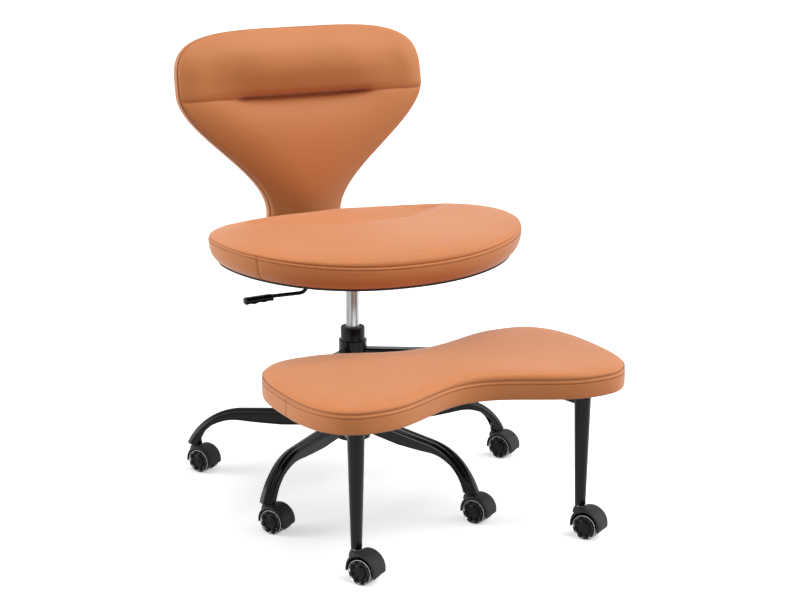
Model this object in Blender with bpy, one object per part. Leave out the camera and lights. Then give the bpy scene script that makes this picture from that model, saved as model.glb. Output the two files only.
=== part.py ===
"""Meditation chair: swivel seat with a waisted backrest, a star base and a foot stool that turns on the column."""

import math

import bmesh
import bpy
from mathutils import Matrix, Vector

# Fits and frame: all sizes are metres, heights are above the floor, the sitter faces -Y
FIT_GAP = 0.0003
COLUMN_X = -0.0210
COLUMN_Y = 0.1150
ROUND_SEGMENTS = 24
SMALL_SEGMENTS = 12

# Casters
WHEEL_RADIUS = 0.025
WHEEL_WIDTH = 0.0165
WHEEL_CHAMFER = 0.0026
WHEEL_DISH = 0.0012
WHEEL_BOSS_RADIUS = 0.012
WHEEL_FACE = 0.0045
WHEEL_SEGMENTS = 16
CASTER_TRAIL = 0.019
CASTER_HEADING = math.radians(-59.7)
WEB_THICKNESS = 0.009
HOOD_CLEARANCE = 0.0014
HOOD_WALL = 0.0032
HOOD_BOSS_RADIUS = 0.0095
HOOD_REAR_ANGLE = math.radians(-12)
HOOD_FRONT_ANGLE = math.radians(186)
HOOD_STEPS = 11
HOOD_TOP = 2 * WHEEL_RADIUS + HOOD_CLEARANCE + HOOD_WALL
AXLE_RADIUS = 0.003
STEM_RADIUS = 0.0055
STEM_REACH = 0.018
SPIGOT_RADIUS = 0.003
SPIGOT_LENGTH = 0.018
STEM_COLLAR_RADIUS = 0.0085
ARM_STEM_COLLAR = 0.002
LEG_STEM_COLLAR = 0.007

# Column and gas lift
COLUMN_RADIUS = 0.025
COLUMN_WALL = 0.0018
COLUMN_BOTTOM = 0.062
COLUMN_TOP = 0.326
COLUMN_FLOOR = 0.004
COLUMN_ROUND = 0.0012
STOP_RING_HEIGHT = 0.006
STOP_RING_STEP = 0.0045
BUSH_LENGTH = 0.090
BUSH_FLANGE = 0.0022
BUSH_FLANGE_INSET = 0.0008
CYLINDER_RADIUS = 0.014
CYLINDER_LENGTH = 0.279
TAPER_LENGTH = 0.026
TAPER_NARROWING = 0.0008
ROD_RADIUS = 0.005
ROD_CLIP_RADIUS = 0.008
ROD_CLIP_HEIGHT = 0.004
ROD_BORE_ROOF = 0.029
ROD_END_CLEARANCE = 0.008
LIFT_DROP = 0.065
VALVE_PIN_RADIUS = 0.0036
VALVE_PIN_LENGTH = 0.018
VALVE_PIN_RISE = 0.0095
VALVE_TRAVEL = 0.0065

# Star base of pressed steel arms on a hub
ARM_COUNT = 5
ARM_FIRST_ANGLE = math.radians(-1.7)
STEM_CIRCLE = 0.337
ARM_END_HEIGHT = HOOD_TOP + ARM_STEM_COLLAR
ARM_HUB_HEIGHT = 0.150
BEND_START = 0.215
BEND_HEIGHT = 0.141
BEND_POWER = 1.11
BEND_STEPS = 7
RUN_STEPS = 2
ARM_TIP_OVERHANG = 0.0185
ARM_HUB_DEPTH = 0.034
ARM_END_DEPTH = 0.0245
ARM_TAPER_START = 0.17
ARM_TAPER_END = 0.26
ARM_HUB_HALF_WIDTH = 0.0165
ARM_END_HALF_WIDTH = 0.014
RIDGE_HALF_WIDTH = 0.0055
RIDGE_ROUND = 0.0018
RIDGE_HUB_HEIGHT = 0.008
RIDGE_END_HEIGHT = 0.004
SHOULDER_DROP = 0.004
ARM_SHEET = 0.0022
SOCKET_WALL = 0.0032
SOCKET_ROOF = 0.0015
SADDLE_THICKNESS = 0.006
SADDLE_HEIGHT = 0.012
WELD_OVERLAP = 0.0004
HUB_WALL = 0.011
HUB_RIM = 0.008
HUB_SKIRT = 0.024
HUB_CHAMFER = 0.002
HUB_RADIUS = COLUMN_RADIUS + HUB_WALL
HUB_TOP = ARM_HUB_HEIGHT + HUB_RIM
HUB_BOTTOM = ARM_HUB_HEIGHT - ARM_HUB_DEPTH - HUB_SKIRT

# Seat, its board and its plate: the rim rises at the sides and falls at the front
SEAT_TURN = math.radians(-2.7)
SEAT_HALF_WIDTH = 0.3203
SEAT_FRONT_DEPTH = 0.244
SEAT_REAR_DEPTH = 0.2173
SEAT_CENTRE_Y = -0.064
SEAT_FRONT_POWER = 2.23
SEAT_REAR_POWER = 2.02
SEAT_BOTTOM = 0.490
SEAT_BAND = 0.0404
SEAT_UNDERCUT = 0.022
SEAT_SIDE_LIFT = 0.0094
SEAT_END_DROP = 0.0054
SEAT_LOW_SIDE_LIFT = 0.010
SEAT_LOW_FRONT_DROP = 0.0120
SEAT_ROLL = 0.015
SEAT_CROWN = 0.010
HOLLOW_DEPTH = 0.016
HOLLOW_Y = 0.080
HOLLOW_HALF_WIDTH = 0.255
HOLLOW_HALF_DEPTH = 0.105
HOLLOW_SLOPE = 0.45
RIM_FADE_POWER = 4
SEAT_POINTS = 52
SEAT_TOP_RINGS = 7
SEAT_FLAT_SHARE = 0.5
SEAT_UNDER_RINGS = 3
SEAT_BOARD_SHARE = 0.95
SEAT_BOARD_THICKNESS = 0.0062
PLATE_WIDTH = 0.200
PLATE_LENGTH = 0.180
PLATE_THICKNESS = 0.0042
HOUSING_WIDTH = 0.090
HOUSING_LENGTH = 0.120
HOUSING_HEIGHT = 0.034
HOUSING_WALL = 0.003
TAPER_SOCKET_WALL = 0.0057
TAPER_SOCKET_LENGTH = 0.020

# Height lever
LEVER_ROD_RADIUS = 0.004
LEVER_PIN_GAP = 0.0009
LEVER_SLOT_GAP = 0.0008
LEVER_ROOF_GAP = 0.005
LEVER_INNER_END = 0.004
LEVER_KNEE_REACH = 0.027
LEVER_DROP = 0.037
LEVER_OUTER_Y = -0.0815
LEVER_OUTER_X = -0.140
LEVER_BEND_RADIUS = 0.020
LEVER_BEND_STEPS = 4
PADDLE_INNER_X = -0.2055
PADDLE_LENGTH = 0.061
PADDLE_WIDTH = 0.022
PADDLE_TIP_WIDTH = 0.007
PADDLE_THICKNESS = 0.011
PADDLE_TIP_RISE = 0.0033
PADDLE_CHAMFER = 0.0022
PADDLE_ROUND_POWER = 8
PADDLE_STEPS = 14
PADDLE_GRIPS = 3
PADDLE_GRIP_DEPTH = 0.0022
PADDLE_GRIP_START = 0.015
PADDLE_SOCKET = 0.016

# Backrest and the bar that carries it
BACK_CLEARANCE = 0.0457
BACK_RISE = 0.010
BACK_LEAN = math.radians(7.5)
BACK_SWEEP = 0.1146
BACK_SWEEP_HEIGHT = 0.240
BACK_HEIGHT = 0.412
BACK_WIDEST = 0.2875
BACK_HALF_WIDTH = 0.2735
BACK_CORNER_POWER = 3.9
BACK_EDGE_POWER = 3.5
BACK_COLUMNS = 8
BACK_LOWER_ROWS = 8
BACK_TOP_ROWS = 7
BACK_TOP_ANGLE = math.radians(84)
NECK_TOP = 0.022
NECK_HALF_WIDTH = 0.080
NECK_FLARE = 1.03
BACK_BAND = 0.030
BACK_BAND_BULGE = 0.002
BOLSTER_BULGE = 0.026
PANEL_BULGE = 0.022
NECK_BULGE = 0.010
PLEAT_HEIGHT = 0.271
PLEAT_DEPTH = 0.020
PLEAT_SIDE_DEPTH = 0.003
PLEAT_DEEP_X = 0.130
PLEAT_FADE_X = 0.185
PLEAT_REACH = 0.008
PLEAT_SPREAD = 0.024
PLEAT_ROWS = 3
PLEAT_ROW_POWER = 1.6
BAR_WIDTH = 0.060
BAR_THICKNESS = 0.006
BAR_TOP = 0.200
BAR_BEND_STEPS = 6

# Stool
STOOL_CENTRE_Y = -0.3885
STOOL_HALF_LENGTH = 0.3387
STOOL_LOBE_X = 0.2215
STOOL_LOBE_HALF_WIDTH = 0.1795
STOOL_WAIST_FRONT = 0.1044
STOOL_WAIST_REAR = 0.1212
STOOL_END_POWER = 2.7
STOOL_BOTTOM = 0.300
STOOL_BAND = 0.037
STOOL_ROLL = 0.011
STOOL_CROWN = 0.004
STOOL_POINTS = 52
STOOL_TOP_RINGS = 6
STOOL_RIM = 0.010
STOOL_BOARD_RECESS = 0.0013
STOOL_BOARD_THICKNESS = 0.009
STOOL_ARM_ANGLE = math.radians(-31.5)
STOOL_ARM_ELBOW = 0.195
STOOL_ARM_BEND = 0.060
STOOL_ARM_BEND_STEPS = 5
STOOL_ARM_WIDTH = 0.025
STOOL_ARM_HEIGHT = 0.020
STOOL_ARM_DROP = 0.0165
STOOL_ARM_WALL = 0.002
STOOL_ARM_CORNER = 0.003
COLLAR_WALL = 0.0035
COLLAR_HEAD = 0.0175
COLLAR_SKIRT = 0.0175
COLLAR_LIP = 0.0012
LEG_SPREAD = 0.0185
LEG_SETBACK = 0.1055
LEG_TOP_RADIUS = 0.016
LEG_END_RADIUS = 0.011
LEG_END_BEVEL = 0.002
LEG_FLANGE_RADIUS = 0.032
LEG_FLANGE = 0.004
LEG_SOCKET_ROOM = 0.010
LEG_SEGMENTS = 18

# Cushions: the sides are drawn in at the stitching, full below it, and roll over above it
SIDE_DRAW_IN = 0.0035
SIDE_RINGS = 4
SEAM_POWER = 6
TUCK_POWER = 3
CUSHION_ROLL_WIDTH = 0.009
ROLL_RINGS = 2
CROWN_POWER = 3
HOLLOW_EDGE_POWER = 6
TOP_FIRST_ANGLE = math.radians(19)
TOP_LAST_ANGLE = math.radians(85)


def lerp(start, end, share):
    return start + (end - start) * share


def smooth(share):
    """Ease from 0 to 1 with level ends."""
    share = min(max(share, 0.0), 1.0)
    return share * share * (3 - 2 * share)


def make_material(name, colour, roughness, metallic):
    material = bpy.data.materials.new(name)
    material.use_nodes = True
    shader = material.node_tree.nodes["Principled BSDF"]
    shader.inputs["Base Color"].default_value = (*colour, 1)
    shader.inputs["Roughness"].default_value = roughness
    shader.inputs["Metallic"].default_value = metallic
    return material


def skin(name, rings, closed=False):
    """Mesh over rings of points: a closed run of rings, or an open one with both ends capped."""
    mesh = bpy.data.meshes.new(name)
    work = bmesh.new()
    rows = [[work.verts.new(point) for point in ring] for ring in rings]
    count = len(rows[0])
    pairs = list(zip(rows, rows[1:]))
    if closed:
        pairs.append((rows[-1], rows[0]))
    for lower, upper in pairs:
        for index in range(count):
            after = (index + 1) % count
            work.faces.new((lower[index], lower[after], upper[after], upper[index]))
    if not closed:
        work.faces.new(rows[0])
        work.faces.new(rows[-1])
    bmesh.ops.recalc_face_normals(work, faces=work.faces)
    work.to_mesh(mesh)
    work.free()
    return mesh


def turned(name, profile, segments=ROUND_SEGMENTS, closed=False):
    """Turn a profile of (radius, height) points about Z; flats, not corners, face the axes."""
    rings = []
    for radius, height in profile:
        corner = radius / math.cos(math.pi / segments)
        angles = [math.tau * (index + 0.5) / segments for index in range(segments)]
        rings.append([(corner * math.cos(angle), corner * math.sin(angle), height) for angle in angles])
    return skin(name, rings, closed)


def box(name, low, high):
    mesh = bpy.data.meshes.new(name)
    work = bmesh.new()
    bmesh.ops.create_cube(work, size=1)
    size = [high[axis] - low[axis] for axis in range(3)]
    middle = [(high[axis] + low[axis]) / 2 for axis in range(3)]
    bmesh.ops.transform(work, matrix=Matrix.LocRotScale(middle, None, size), verts=work.verts)
    work.to_mesh(mesh)
    work.free()
    return mesh


def add_object(name, mesh, material=None, parent=None, location=(0, 0, 0), rotation=(0, 0, 0)):
    item = bpy.data.objects.new(name, mesh)
    bpy.context.scene.collection.objects.link(item)
    item.parent = parent
    item.location = location
    item.rotation_euler = rotation
    if material is not None:
        mesh.materials.clear()
        mesh.materials.append(material)
        mesh.shade_smooth()
        mesh.set_sharp_from_angle(angle=math.radians(35))
    return item


def add_axis(name, parent=None, location=(0, 0, 0), rotation=(0, 0, 0)):
    """Empty that stands on a joint's axis and carries what moves with it."""
    return add_object(name, None, None, parent, location, rotation)


def bake(item):
    """Turn the object's modifiers into mesh."""
    graph = bpy.context.evaluated_depsgraph_get()
    mesh = bpy.data.meshes.new_from_object(item.evaluated_get(graph))
    item.modifiers.clear()
    item.data = mesh
    return mesh


def combine(base, steps):
    """Run boolean steps, each (operation, mesh), on a base mesh and return the result."""
    item = add_object("blank", base)
    for operation, mesh in steps:
        tool = add_object("tool", mesh)
        modifier = item.modifiers.new("boolean", "BOOLEAN")
        modifier.operation = operation
        modifier.solver = "EXACT"
        modifier.object = tool
        bake(item)
        bpy.data.objects.remove(tool)
    mesh = item.data
    bpy.data.objects.remove(item)
    return mesh


def moved(mesh, matrix):
    mesh.transform(matrix)
    return mesh


def fillet(before, corner, after, radius, steps):
    """Points of the arc that rounds the corner of a path."""
    back = (Vector(before) - Vector(corner)).normalized()
    ahead = (Vector(after) - Vector(corner)).normalized()
    half = back.angle(ahead) / 2
    centre = Vector(corner) + (back + ahead).normalized() * (radius / math.sin(half))
    first = (Vector(corner) + back * (radius / math.tan(half)) - centre).normalized()
    last = (Vector(corner) + ahead * (radius / math.tan(half)) - centre).normalized()
    return [centre + first.slerp(last, step / steps) * radius for step in range(steps + 1)]


def swept(path, section, up):
    """Rings of a section of (side, up) offsets carried along a path."""
    rings = []
    points = [Vector(point) for point in path]
    for index, point in enumerate(points):
        ahead = points[min(index + 1, len(points) - 1)]
        behind = points[max(index - 1, 0)]
        tangent = (ahead - behind).normalized()
        side = tangent.cross(Vector(up)).normalized()
        rise = side.cross(tangent)
        rings.append([point + side * across + rise * height for across, height in section])
    return rings


def circle_section(radius, segments):
    return [
        (radius * math.cos(math.tau * index / segments), radius * math.sin(math.tau * index / segments))
        for index in range(segments)
    ]


def inset(outline, distance):
    """Move each (x, y) point of a closed counter-clockwise outline inwards."""
    result = []
    count = len(outline)
    for index, (x, y) in enumerate(outline):
        ahead = Vector(outline[(index + 1) % count])
        behind = Vector(outline[index - 1])
        tangent = (ahead - behind).normalized()
        result.append((x - tangent.y * distance, y + tangent.x * distance))
    return result


def level(outline, height):
    return [(x, y, height) for x, y in outline]


# The scene starts empty
for existing in list(bpy.data.objects):
    bpy.data.objects.remove(existing)

black_steel = make_material("black_painted_steel", (0.012, 0.012, 0.013), 0.35, 0.0)
black_plastic = make_material("black_plastic", (0.018, 0.018, 0.019), 0.5, 0.0)
gloss_black = make_material("gloss_black_nylon", (0.008, 0.008, 0.009), 0.15, 0.0)
zinc = make_material("zinc_plated_steel", (0.55, 0.56, 0.57), 0.3, 1.0)
chrome = make_material("chrome", (0.70, 0.71, 0.72), 0.12, 1.0)
leather = make_material("tan_leather", (0.56, 0.22, 0.085), 0.45, 0.0)
plywood = make_material("plywood", (0.50, 0.36, 0.20), 0.7, 0.0)
board_black = make_material("black_board", (0.015, 0.015, 0.015), 0.7, 0.0)

column_axis = add_axis("column_axis", None, (COLUMN_X, COLUMN_Y, 0))


# Casters
def wheel_mesh():
    """Wheel along +Z from its inner face, with a blind bore, a dished face and a raised centre."""
    rim = WHEEL_RADIUS - WHEEL_CHAMFER
    dish = WHEEL_WIDTH - WHEEL_DISH
    bore = AXLE_RADIUS + FIT_GAP
    profile = [
        (bore, WHEEL_WIDTH - WHEEL_FACE),
        (bore, 0),
        (WHEEL_RADIUS, 0),
        (WHEEL_RADIUS, WHEEL_WIDTH - WHEEL_CHAMFER),
        (rim, WHEEL_WIDTH),
        (rim - WHEEL_DISH, dish),
        (WHEEL_BOSS_RADIUS + WHEEL_DISH, dish),
        (WHEEL_BOSS_RADIUS, WHEEL_WIDTH),
    ]
    return turned("wheel", profile, WHEEL_SEGMENTS)


def hood_mesh():
    """Hood round both wheels: a round cover with a middle web for the axle and a boss for the stem."""
    inner = WHEEL_RADIUS + HOOD_CLEARANCE
    outer = inner + HOOD_WALL
    half_width = WEB_THICKNESS / 2 + FIT_GAP + WHEEL_WIDTH
    arc = []
    for step in range(HOOD_STEPS + 1):
        angle = lerp(HOOD_REAR_ANGLE, HOOD_FRONT_ANGLE, step / HOOD_STEPS)
        arc.append((CASTER_TRAIL + outer * math.cos(angle), WHEEL_RADIUS + outer * math.sin(angle)))
    cover = skin("hood", [[(x, y, z) for x, z in arc] for y in (-half_width, half_width)])
    boss_bottom = HOOD_TOP - SPIGOT_LENGTH / 2
    boss = turned("boss", [(HOOD_BOSS_RADIUS, boss_bottom), (HOOD_BOSS_RADIUS, HOOD_TOP)], SMALL_SEGMENTS)
    steps = [("UNION", boss)]
    for side in (-1, 1):
        cavity = turned("cavity", [(inner, WEB_THICKNESS / 2), (inner, 2 * half_width)], WHEEL_SEGMENTS)
        turn = Matrix.Rotation(-side * math.pi / 2, 4, "X")
        place = Matrix.Translation((CASTER_TRAIL, 0, WHEEL_RADIUS))
        steps.append(("DIFFERENCE", moved(cavity, place @ turn)))
    axle_room = AXLE_RADIUS + FIT_GAP
    axle_hole = turned("hole", [(axle_room, -half_width), (axle_room, half_width)], SMALL_SEGMENTS)
    across = Matrix.Translation((CASTER_TRAIL, 0, WHEEL_RADIUS)) @ Matrix.Rotation(math.pi / 2, 4, "X")
    steps.append(("DIFFERENCE", moved(axle_hole, across)))
    spigot_hole = SPIGOT_RADIUS + FIT_GAP
    hole_floor = HOOD_TOP - SPIGOT_LENGTH - FIT_GAP
    stem_hole = turned("hole", [(spigot_hole, hole_floor), (spigot_hole, 2 * HOOD_TOP)], SMALL_SEGMENTS)
    steps.append(("DIFFERENCE", stem_hole))
    return combine(cover, steps)


def stem_mesh(socket_bottom):
    """Stem with its collar between the hood and the socket that it turns in."""
    collar_bottom = HOOD_TOP + FIT_GAP
    collar_top = socket_bottom - FIT_GAP
    profile = [
        (SPIGOT_RADIUS, HOOD_TOP - SPIGOT_LENGTH),
        (SPIGOT_RADIUS, collar_bottom),
        (STEM_COLLAR_RADIUS, collar_bottom),
        (STEM_COLLAR_RADIUS, collar_top),
        (STEM_RADIUS, collar_top),
        (STEM_RADIUS, socket_bottom + STEM_REACH),
    ]
    return turned("stem", profile, SMALL_SEGMENTS)


def axle_mesh():
    half_length = WEB_THICKNESS / 2 + WHEEL_WIDTH - WHEEL_FACE
    return turned("axle", [(AXLE_RADIUS, -half_length), (AXLE_RADIUS, half_length)], SMALL_SEGMENTS)


hood_shape = hood_mesh()
wheel_shape = wheel_mesh()
axle_shape = axle_mesh()


def add_caster(name, parent, place, stem_shape):
    """One caster on its swivel axis, which stands on the floor under the stem."""
    swivel = add_axis(name + "_swivel", parent, (*place, 0), (0, 0, CASTER_HEADING))
    add_object(name + "_hood", hood_shape.copy(), black_plastic, swivel)
    add_object(name + "_stem", stem_shape.copy(), zinc, swivel)
    middle = (CASTER_TRAIL, 0, WHEEL_RADIUS)
    add_object(name + "_axle", axle_shape.copy(), zinc, swivel, middle, (math.pi / 2, 0, 0))
    for side, label in ((-1, "_wheel_right"), (1, "_wheel_left")):
        seat = (CASTER_TRAIL, side * (WEB_THICKNESS / 2 + FIT_GAP), WHEEL_RADIUS)
        add_object(name + label, wheel_shape.copy(), gloss_black, swivel, seat, (-side * math.pi / 2, 0, 0))


# Star base
def arm_path():
    """Ridge line of one arm as (radius, height): a straight run, then the gooseneck."""
    path = []
    start = HUB_RADIUS - ARM_HUB_HALF_WIDTH / 2
    for step in range(RUN_STEPS):
        share = step / RUN_STEPS
        path.append((lerp(start, BEND_START, share), lerp(ARM_HUB_HEIGHT, BEND_HEIGHT, share)))
    reach = STEM_CIRCLE + ARM_TIP_OVERHANG - BEND_START
    drop = BEND_HEIGHT - ARM_END_HEIGHT
    for step in range(BEND_STEPS + 1):
        angle = math.pi / 2 * step / BEND_STEPS
        radius = BEND_START + reach * math.sin(angle) ** BEND_POWER
        path.append((radius, ARM_END_HEIGHT + drop * max(math.cos(angle), 0) ** BEND_POWER))
    return path


def arm_section(radius, share):
    """Half section of the pressed channel as (side, depth) points, from the ridge to the skirt."""
    taper = smooth((radius - ARM_TAPER_START) / (ARM_TAPER_END - ARM_TAPER_START))
    depth = lerp(ARM_HUB_DEPTH, ARM_END_DEPTH, taper)
    half_width = lerp(ARM_HUB_HALF_WIDTH, ARM_END_HALF_WIDTH, share)
    ridge = lerp(RIDGE_HUB_HEIGHT, RIDGE_END_HEIGHT, share)
    return [
        (RIDGE_HALF_WIDTH / 2, 0),
        (RIDGE_HALF_WIDTH, RIDGE_ROUND),
        (RIDGE_HALF_WIDTH + RIDGE_ROUND / 2, ridge),
        (half_width, ridge + SHOULDER_DROP),
        (half_width, depth),
    ]


def arm_mesh():
    """Sheet steel channel with a raised ridge, open below, with the stem socket welded in its end."""
    path = [Vector((radius, 0, height)) for radius, height in arm_path()]
    mesh = bpy.data.meshes.new("arm")
    work = bmesh.new()
    rows = []
    for index, point in enumerate(path):
        ahead = path[min(index + 1, len(path) - 1)]
        behind = path[max(index - 1, 0)]
        tangent = (ahead - behind).normalized()
        if index == len(path) - 1:
            tangent = Vector((0, 0, -1))
        outward = Vector((-tangent.z, 0, tangent.x))
        half = arm_section(point.x, index / (len(path) - 1))
        section = [(-side, depth) for side, depth in reversed(half)] + half
        rows.append([work.verts.new(point - outward * depth + Vector((0, side, 0))) for side, depth in section])
    for lower, upper in zip(rows, rows[1:]):
        for index in range(len(lower) - 1):
            work.faces.new((lower[index], upper[index], upper[index + 1], lower[index + 1]))
    work.to_mesh(mesh)
    work.free()
    sheet = add_object("sheet", mesh)
    solidify = sheet.modifiers.new("sheet", "SOLIDIFY")
    solidify.thickness = ARM_SHEET
    solidify.offset = -1
    solidify.use_even_offset = True
    bake(sheet)
    channel = sheet.data
    bpy.data.objects.remove(sheet)
    stem_hole = STEM_RADIUS + FIT_GAP
    bore_top = ARM_END_HEIGHT + STEM_REACH + 2 * FIT_GAP
    socket_bottom = ARM_END_HEIGHT + FIT_GAP
    socket_radius = stem_hole + SOCKET_WALL
    socket_profile = [(socket_radius, socket_bottom), (socket_radius, bore_top + SOCKET_ROOF)]
    socket = turned("socket", socket_profile, SMALL_SEGMENTS)
    flank = ARM_END_HALF_WIDTH - ARM_SHEET + WELD_OVERLAP
    saddle = box(
        "saddle",
        (-SADDLE_THICKNESS / 2, -flank, socket_bottom),
        (SADDLE_THICKNESS / 2, flank, socket_bottom + SADDLE_HEIGHT),
    )
    bore = turned("bore", [(stem_hole, 0), (stem_hole, bore_top)], SMALL_SEGMENTS)
    over_stem = Matrix.Translation((STEM_CIRCLE, 0, 0))
    hub_clear = HUB_RADIUS + FIT_GAP
    hub_cut = turned("hub", [(hub_clear, 0), (hub_clear, 2 * HUB_TOP)])
    return combine(
        channel,
        [
            ("UNION", moved(socket, over_stem)),
            ("UNION", moved(saddle, over_stem)),
            ("DIFFERENCE", moved(bore, over_stem)),
            ("DIFFERENCE", hub_cut),
        ],
    )


column_bore = COLUMN_RADIUS + FIT_GAP
hub_profile = [
    (column_bore, HUB_BOTTOM),
    (HUB_RADIUS, HUB_BOTTOM),
    (HUB_RADIUS, HUB_TOP - HUB_CHAMFER),
    (HUB_RADIUS - HUB_CHAMFER, HUB_TOP),
    (column_bore, HUB_TOP),
]
add_object("base_hub", turned("base_hub", hub_profile, closed=True), black_steel, column_axis)

arm_shape = arm_mesh()
base_stem_shape = stem_mesh(ARM_END_HEIGHT)
for arm_index in range(ARM_COUNT):
    arm_angle = ARM_FIRST_ANGLE + math.tau * arm_index / ARM_COUNT
    arm_name = f"base_arm_{arm_index + 1}"
    add_object(arm_name, arm_shape.copy(), black_steel, column_axis, (0, 0, 0), (0, 0, arm_angle))
    stem_place = (STEM_CIRCLE * math.cos(arm_angle), STEM_CIRCLE * math.sin(arm_angle))
    add_caster(f"caster_{arm_index + 1}", column_axis, stem_place, base_stem_shape)

# Column and gas lift
stool_arm_top = STOOL_BOTTOM - STOOL_ARM_DROP
collar_top = stool_arm_top + COLLAR_HEAD
collar_bottom = stool_arm_top - STOOL_ARM_HEIGHT - COLLAR_SKIRT
stop_ring_top = collar_bottom - FIT_GAP
stop_ring_radius = COLUMN_RADIUS + STOP_RING_STEP
tube_inside = COLUMN_RADIUS - COLUMN_WALL
floor_top = COLUMN_BOTTOM + COLUMN_FLOOR
rod_hole = ROD_RADIUS + FIT_GAP
tube_profile = [
    (COLUMN_RADIUS, COLUMN_BOTTOM),
    (COLUMN_RADIUS, stop_ring_top - STOP_RING_HEIGHT),
    (stop_ring_radius, stop_ring_top - STOP_RING_HEIGHT),
    (stop_ring_radius, stop_ring_top),
    (COLUMN_RADIUS, stop_ring_top),
    (COLUMN_RADIUS, COLUMN_TOP - COLUMN_ROUND),
    (COLUMN_RADIUS - COLUMN_ROUND, COLUMN_TOP),
    (tube_inside, COLUMN_TOP),
    (tube_inside, floor_top),
    (rod_hole, floor_top),
    (rod_hole, COLUMN_BOTTOM),
]
add_object("column_tube", turned("column_tube", tube_profile, closed=True), black_steel, column_axis)

bush_outside = tube_inside - FIT_GAP
bush_inside = CYLINDER_RADIUS + FIT_GAP
flange_bottom = COLUMN_TOP + FIT_GAP
flange_radius = COLUMN_RADIUS - BUSH_FLANGE_INSET
bush_profile = [
    (bush_inside, COLUMN_TOP - BUSH_LENGTH),
    (bush_outside, COLUMN_TOP - BUSH_LENGTH),
    (bush_outside, flange_bottom),
    (flange_radius, flange_bottom),
    (flange_radius, flange_bottom + BUSH_FLANGE),
    (bush_inside, flange_bottom + BUSH_FLANGE),
]
add_object("guide_bush", turned("guide_bush", bush_profile, closed=True), black_plastic, column_axis)

plate_top = SEAT_BOTTOM - SEAT_BOARD_THICKNESS - 2 * FIT_GAP
plate_bottom = plate_top - PLATE_THICKNESS
lever_height = plate_bottom - LEVER_ROOF_GAP - LEVER_ROD_RADIUS
pin_top = lever_height - LEVER_ROD_RADIUS - LEVER_PIN_GAP
pin_bottom = pin_top - VALVE_PIN_LENGTH
cylinder_top = pin_top - VALVE_PIN_RISE
cylinder_bottom = cylinder_top - CYLINDER_LENGTH
rod_bore_top = cylinder_top - ROD_BORE_ROOF

clip_top = COLUMN_BOTTOM - FIT_GAP
bearing_bottom = floor_top + FIT_GAP
rod_profile = [
    (ROD_CLIP_RADIUS, clip_top - ROD_CLIP_HEIGHT),
    (ROD_CLIP_RADIUS, clip_top),
    (ROD_RADIUS, clip_top),
    (ROD_RADIUS, bearing_bottom),
    (ROD_CLIP_RADIUS, bearing_bottom),
    (ROD_CLIP_RADIUS, bearing_bottom + ROD_CLIP_HEIGHT),
    (ROD_RADIUS, bearing_bottom + ROD_CLIP_HEIGHT),
    (ROD_RADIUS, rod_bore_top - LIFT_DROP - ROD_END_CLEARANCE),
]
add_object("piston_rod", turned("piston_rod", rod_profile, SMALL_SEGMENTS), zinc, column_axis)

taper_top_radius = CYLINDER_RADIUS - TAPER_NARROWING
pin_hole = VALVE_PIN_RADIUS + FIT_GAP
cylinder_profile = [
    (rod_hole, rod_bore_top),
    (rod_hole, cylinder_bottom),
    (CYLINDER_RADIUS, cylinder_bottom),
    (CYLINDER_RADIUS, cylinder_top - TAPER_LENGTH),
    (taper_top_radius, cylinder_top),
    (pin_hole, cylinder_top),
    (pin_hole, pin_bottom - VALVE_TRAVEL),
]
add_object("gas_cylinder", turned("gas_cylinder", cylinder_profile), chrome, column_axis)
pin_profile = [(VALVE_PIN_RADIUS, pin_bottom), (VALVE_PIN_RADIUS, pin_top)]
add_object("valve_pin", turned("valve_pin", pin_profile, SMALL_SEGMENTS), zinc, column_axis)

# Seat plate: a flat plate over a channel housing with the taper socket and a slot for the lever
seat_axis = add_axis("seat_axis", column_axis, (0, 0, 0), (0, 0, SEAT_TURN))
housing_bottom = plate_bottom - HOUSING_HEIGHT
housing_floor = housing_bottom + HOUSING_WALL
half_housing = HOUSING_WIDTH / 2
slot_half = LEVER_ROD_RADIUS + LEVER_SLOT_GAP


def seat_plate_mesh():
    plate = box(
        "seat_plate",
        (-PLATE_WIDTH / 2, -PLATE_LENGTH / 2, plate_bottom),
        (PLATE_WIDTH / 2, PLATE_LENGTH / 2, plate_top),
    )
    overlap = PLATE_THICKNESS / 2
    housing = box(
        "housing",
        (-half_housing, -HOUSING_LENGTH / 2, housing_bottom),
        (half_housing, HOUSING_LENGTH / 2, plate_bottom + overlap),
    )
    channel = box(
        "channel",
        (-half_housing + HOUSING_WALL, -HOUSING_LENGTH, housing_floor),
        (half_housing - HOUSING_WALL, HOUSING_LENGTH, plate_bottom),
    )
    socket_top = housing_bottom + HOUSING_WALL / 2
    taper_room = CYLINDER_RADIUS + FIT_GAP
    socket_radius = taper_room + TAPER_SOCKET_WALL
    socket = turned(
        "socket",
        [(socket_radius, housing_bottom - TAPER_SOCKET_LENGTH), (socket_radius, socket_top)],
    )
    taper_cut = turned(
        "taper",
        [
            (taper_room, housing_bottom - 2 * TAPER_SOCKET_LENGTH),
            (taper_room, cylinder_top - TAPER_LENGTH),
            (taper_top_radius + FIT_GAP, cylinder_top),
        ],
    )
    slot = box(
        "slot",
        (-half_housing - HOUSING_WALL, -slot_half, lever_height - slot_half),
        (-half_housing + 2 * HOUSING_WALL, slot_half, lever_height + slot_half),
    )
    return combine(
        plate,
        [
            ("UNION", housing),
            ("DIFFERENCE", channel),
            ("UNION", socket),
            ("DIFFERENCE", taper_cut),
            ("DIFFERENCE", slot),
        ],
    )


add_object("seat_plate", seat_plate_mesh(), black_steel, seat_axis)

# Height lever: it rocks in the slot of the housing and presses the valve pin
pivot_x = -half_housing + HOUSING_WALL / 2
lever_axis = add_axis("lever_axis", seat_axis, (pivot_x, 0, lever_height))


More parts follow.
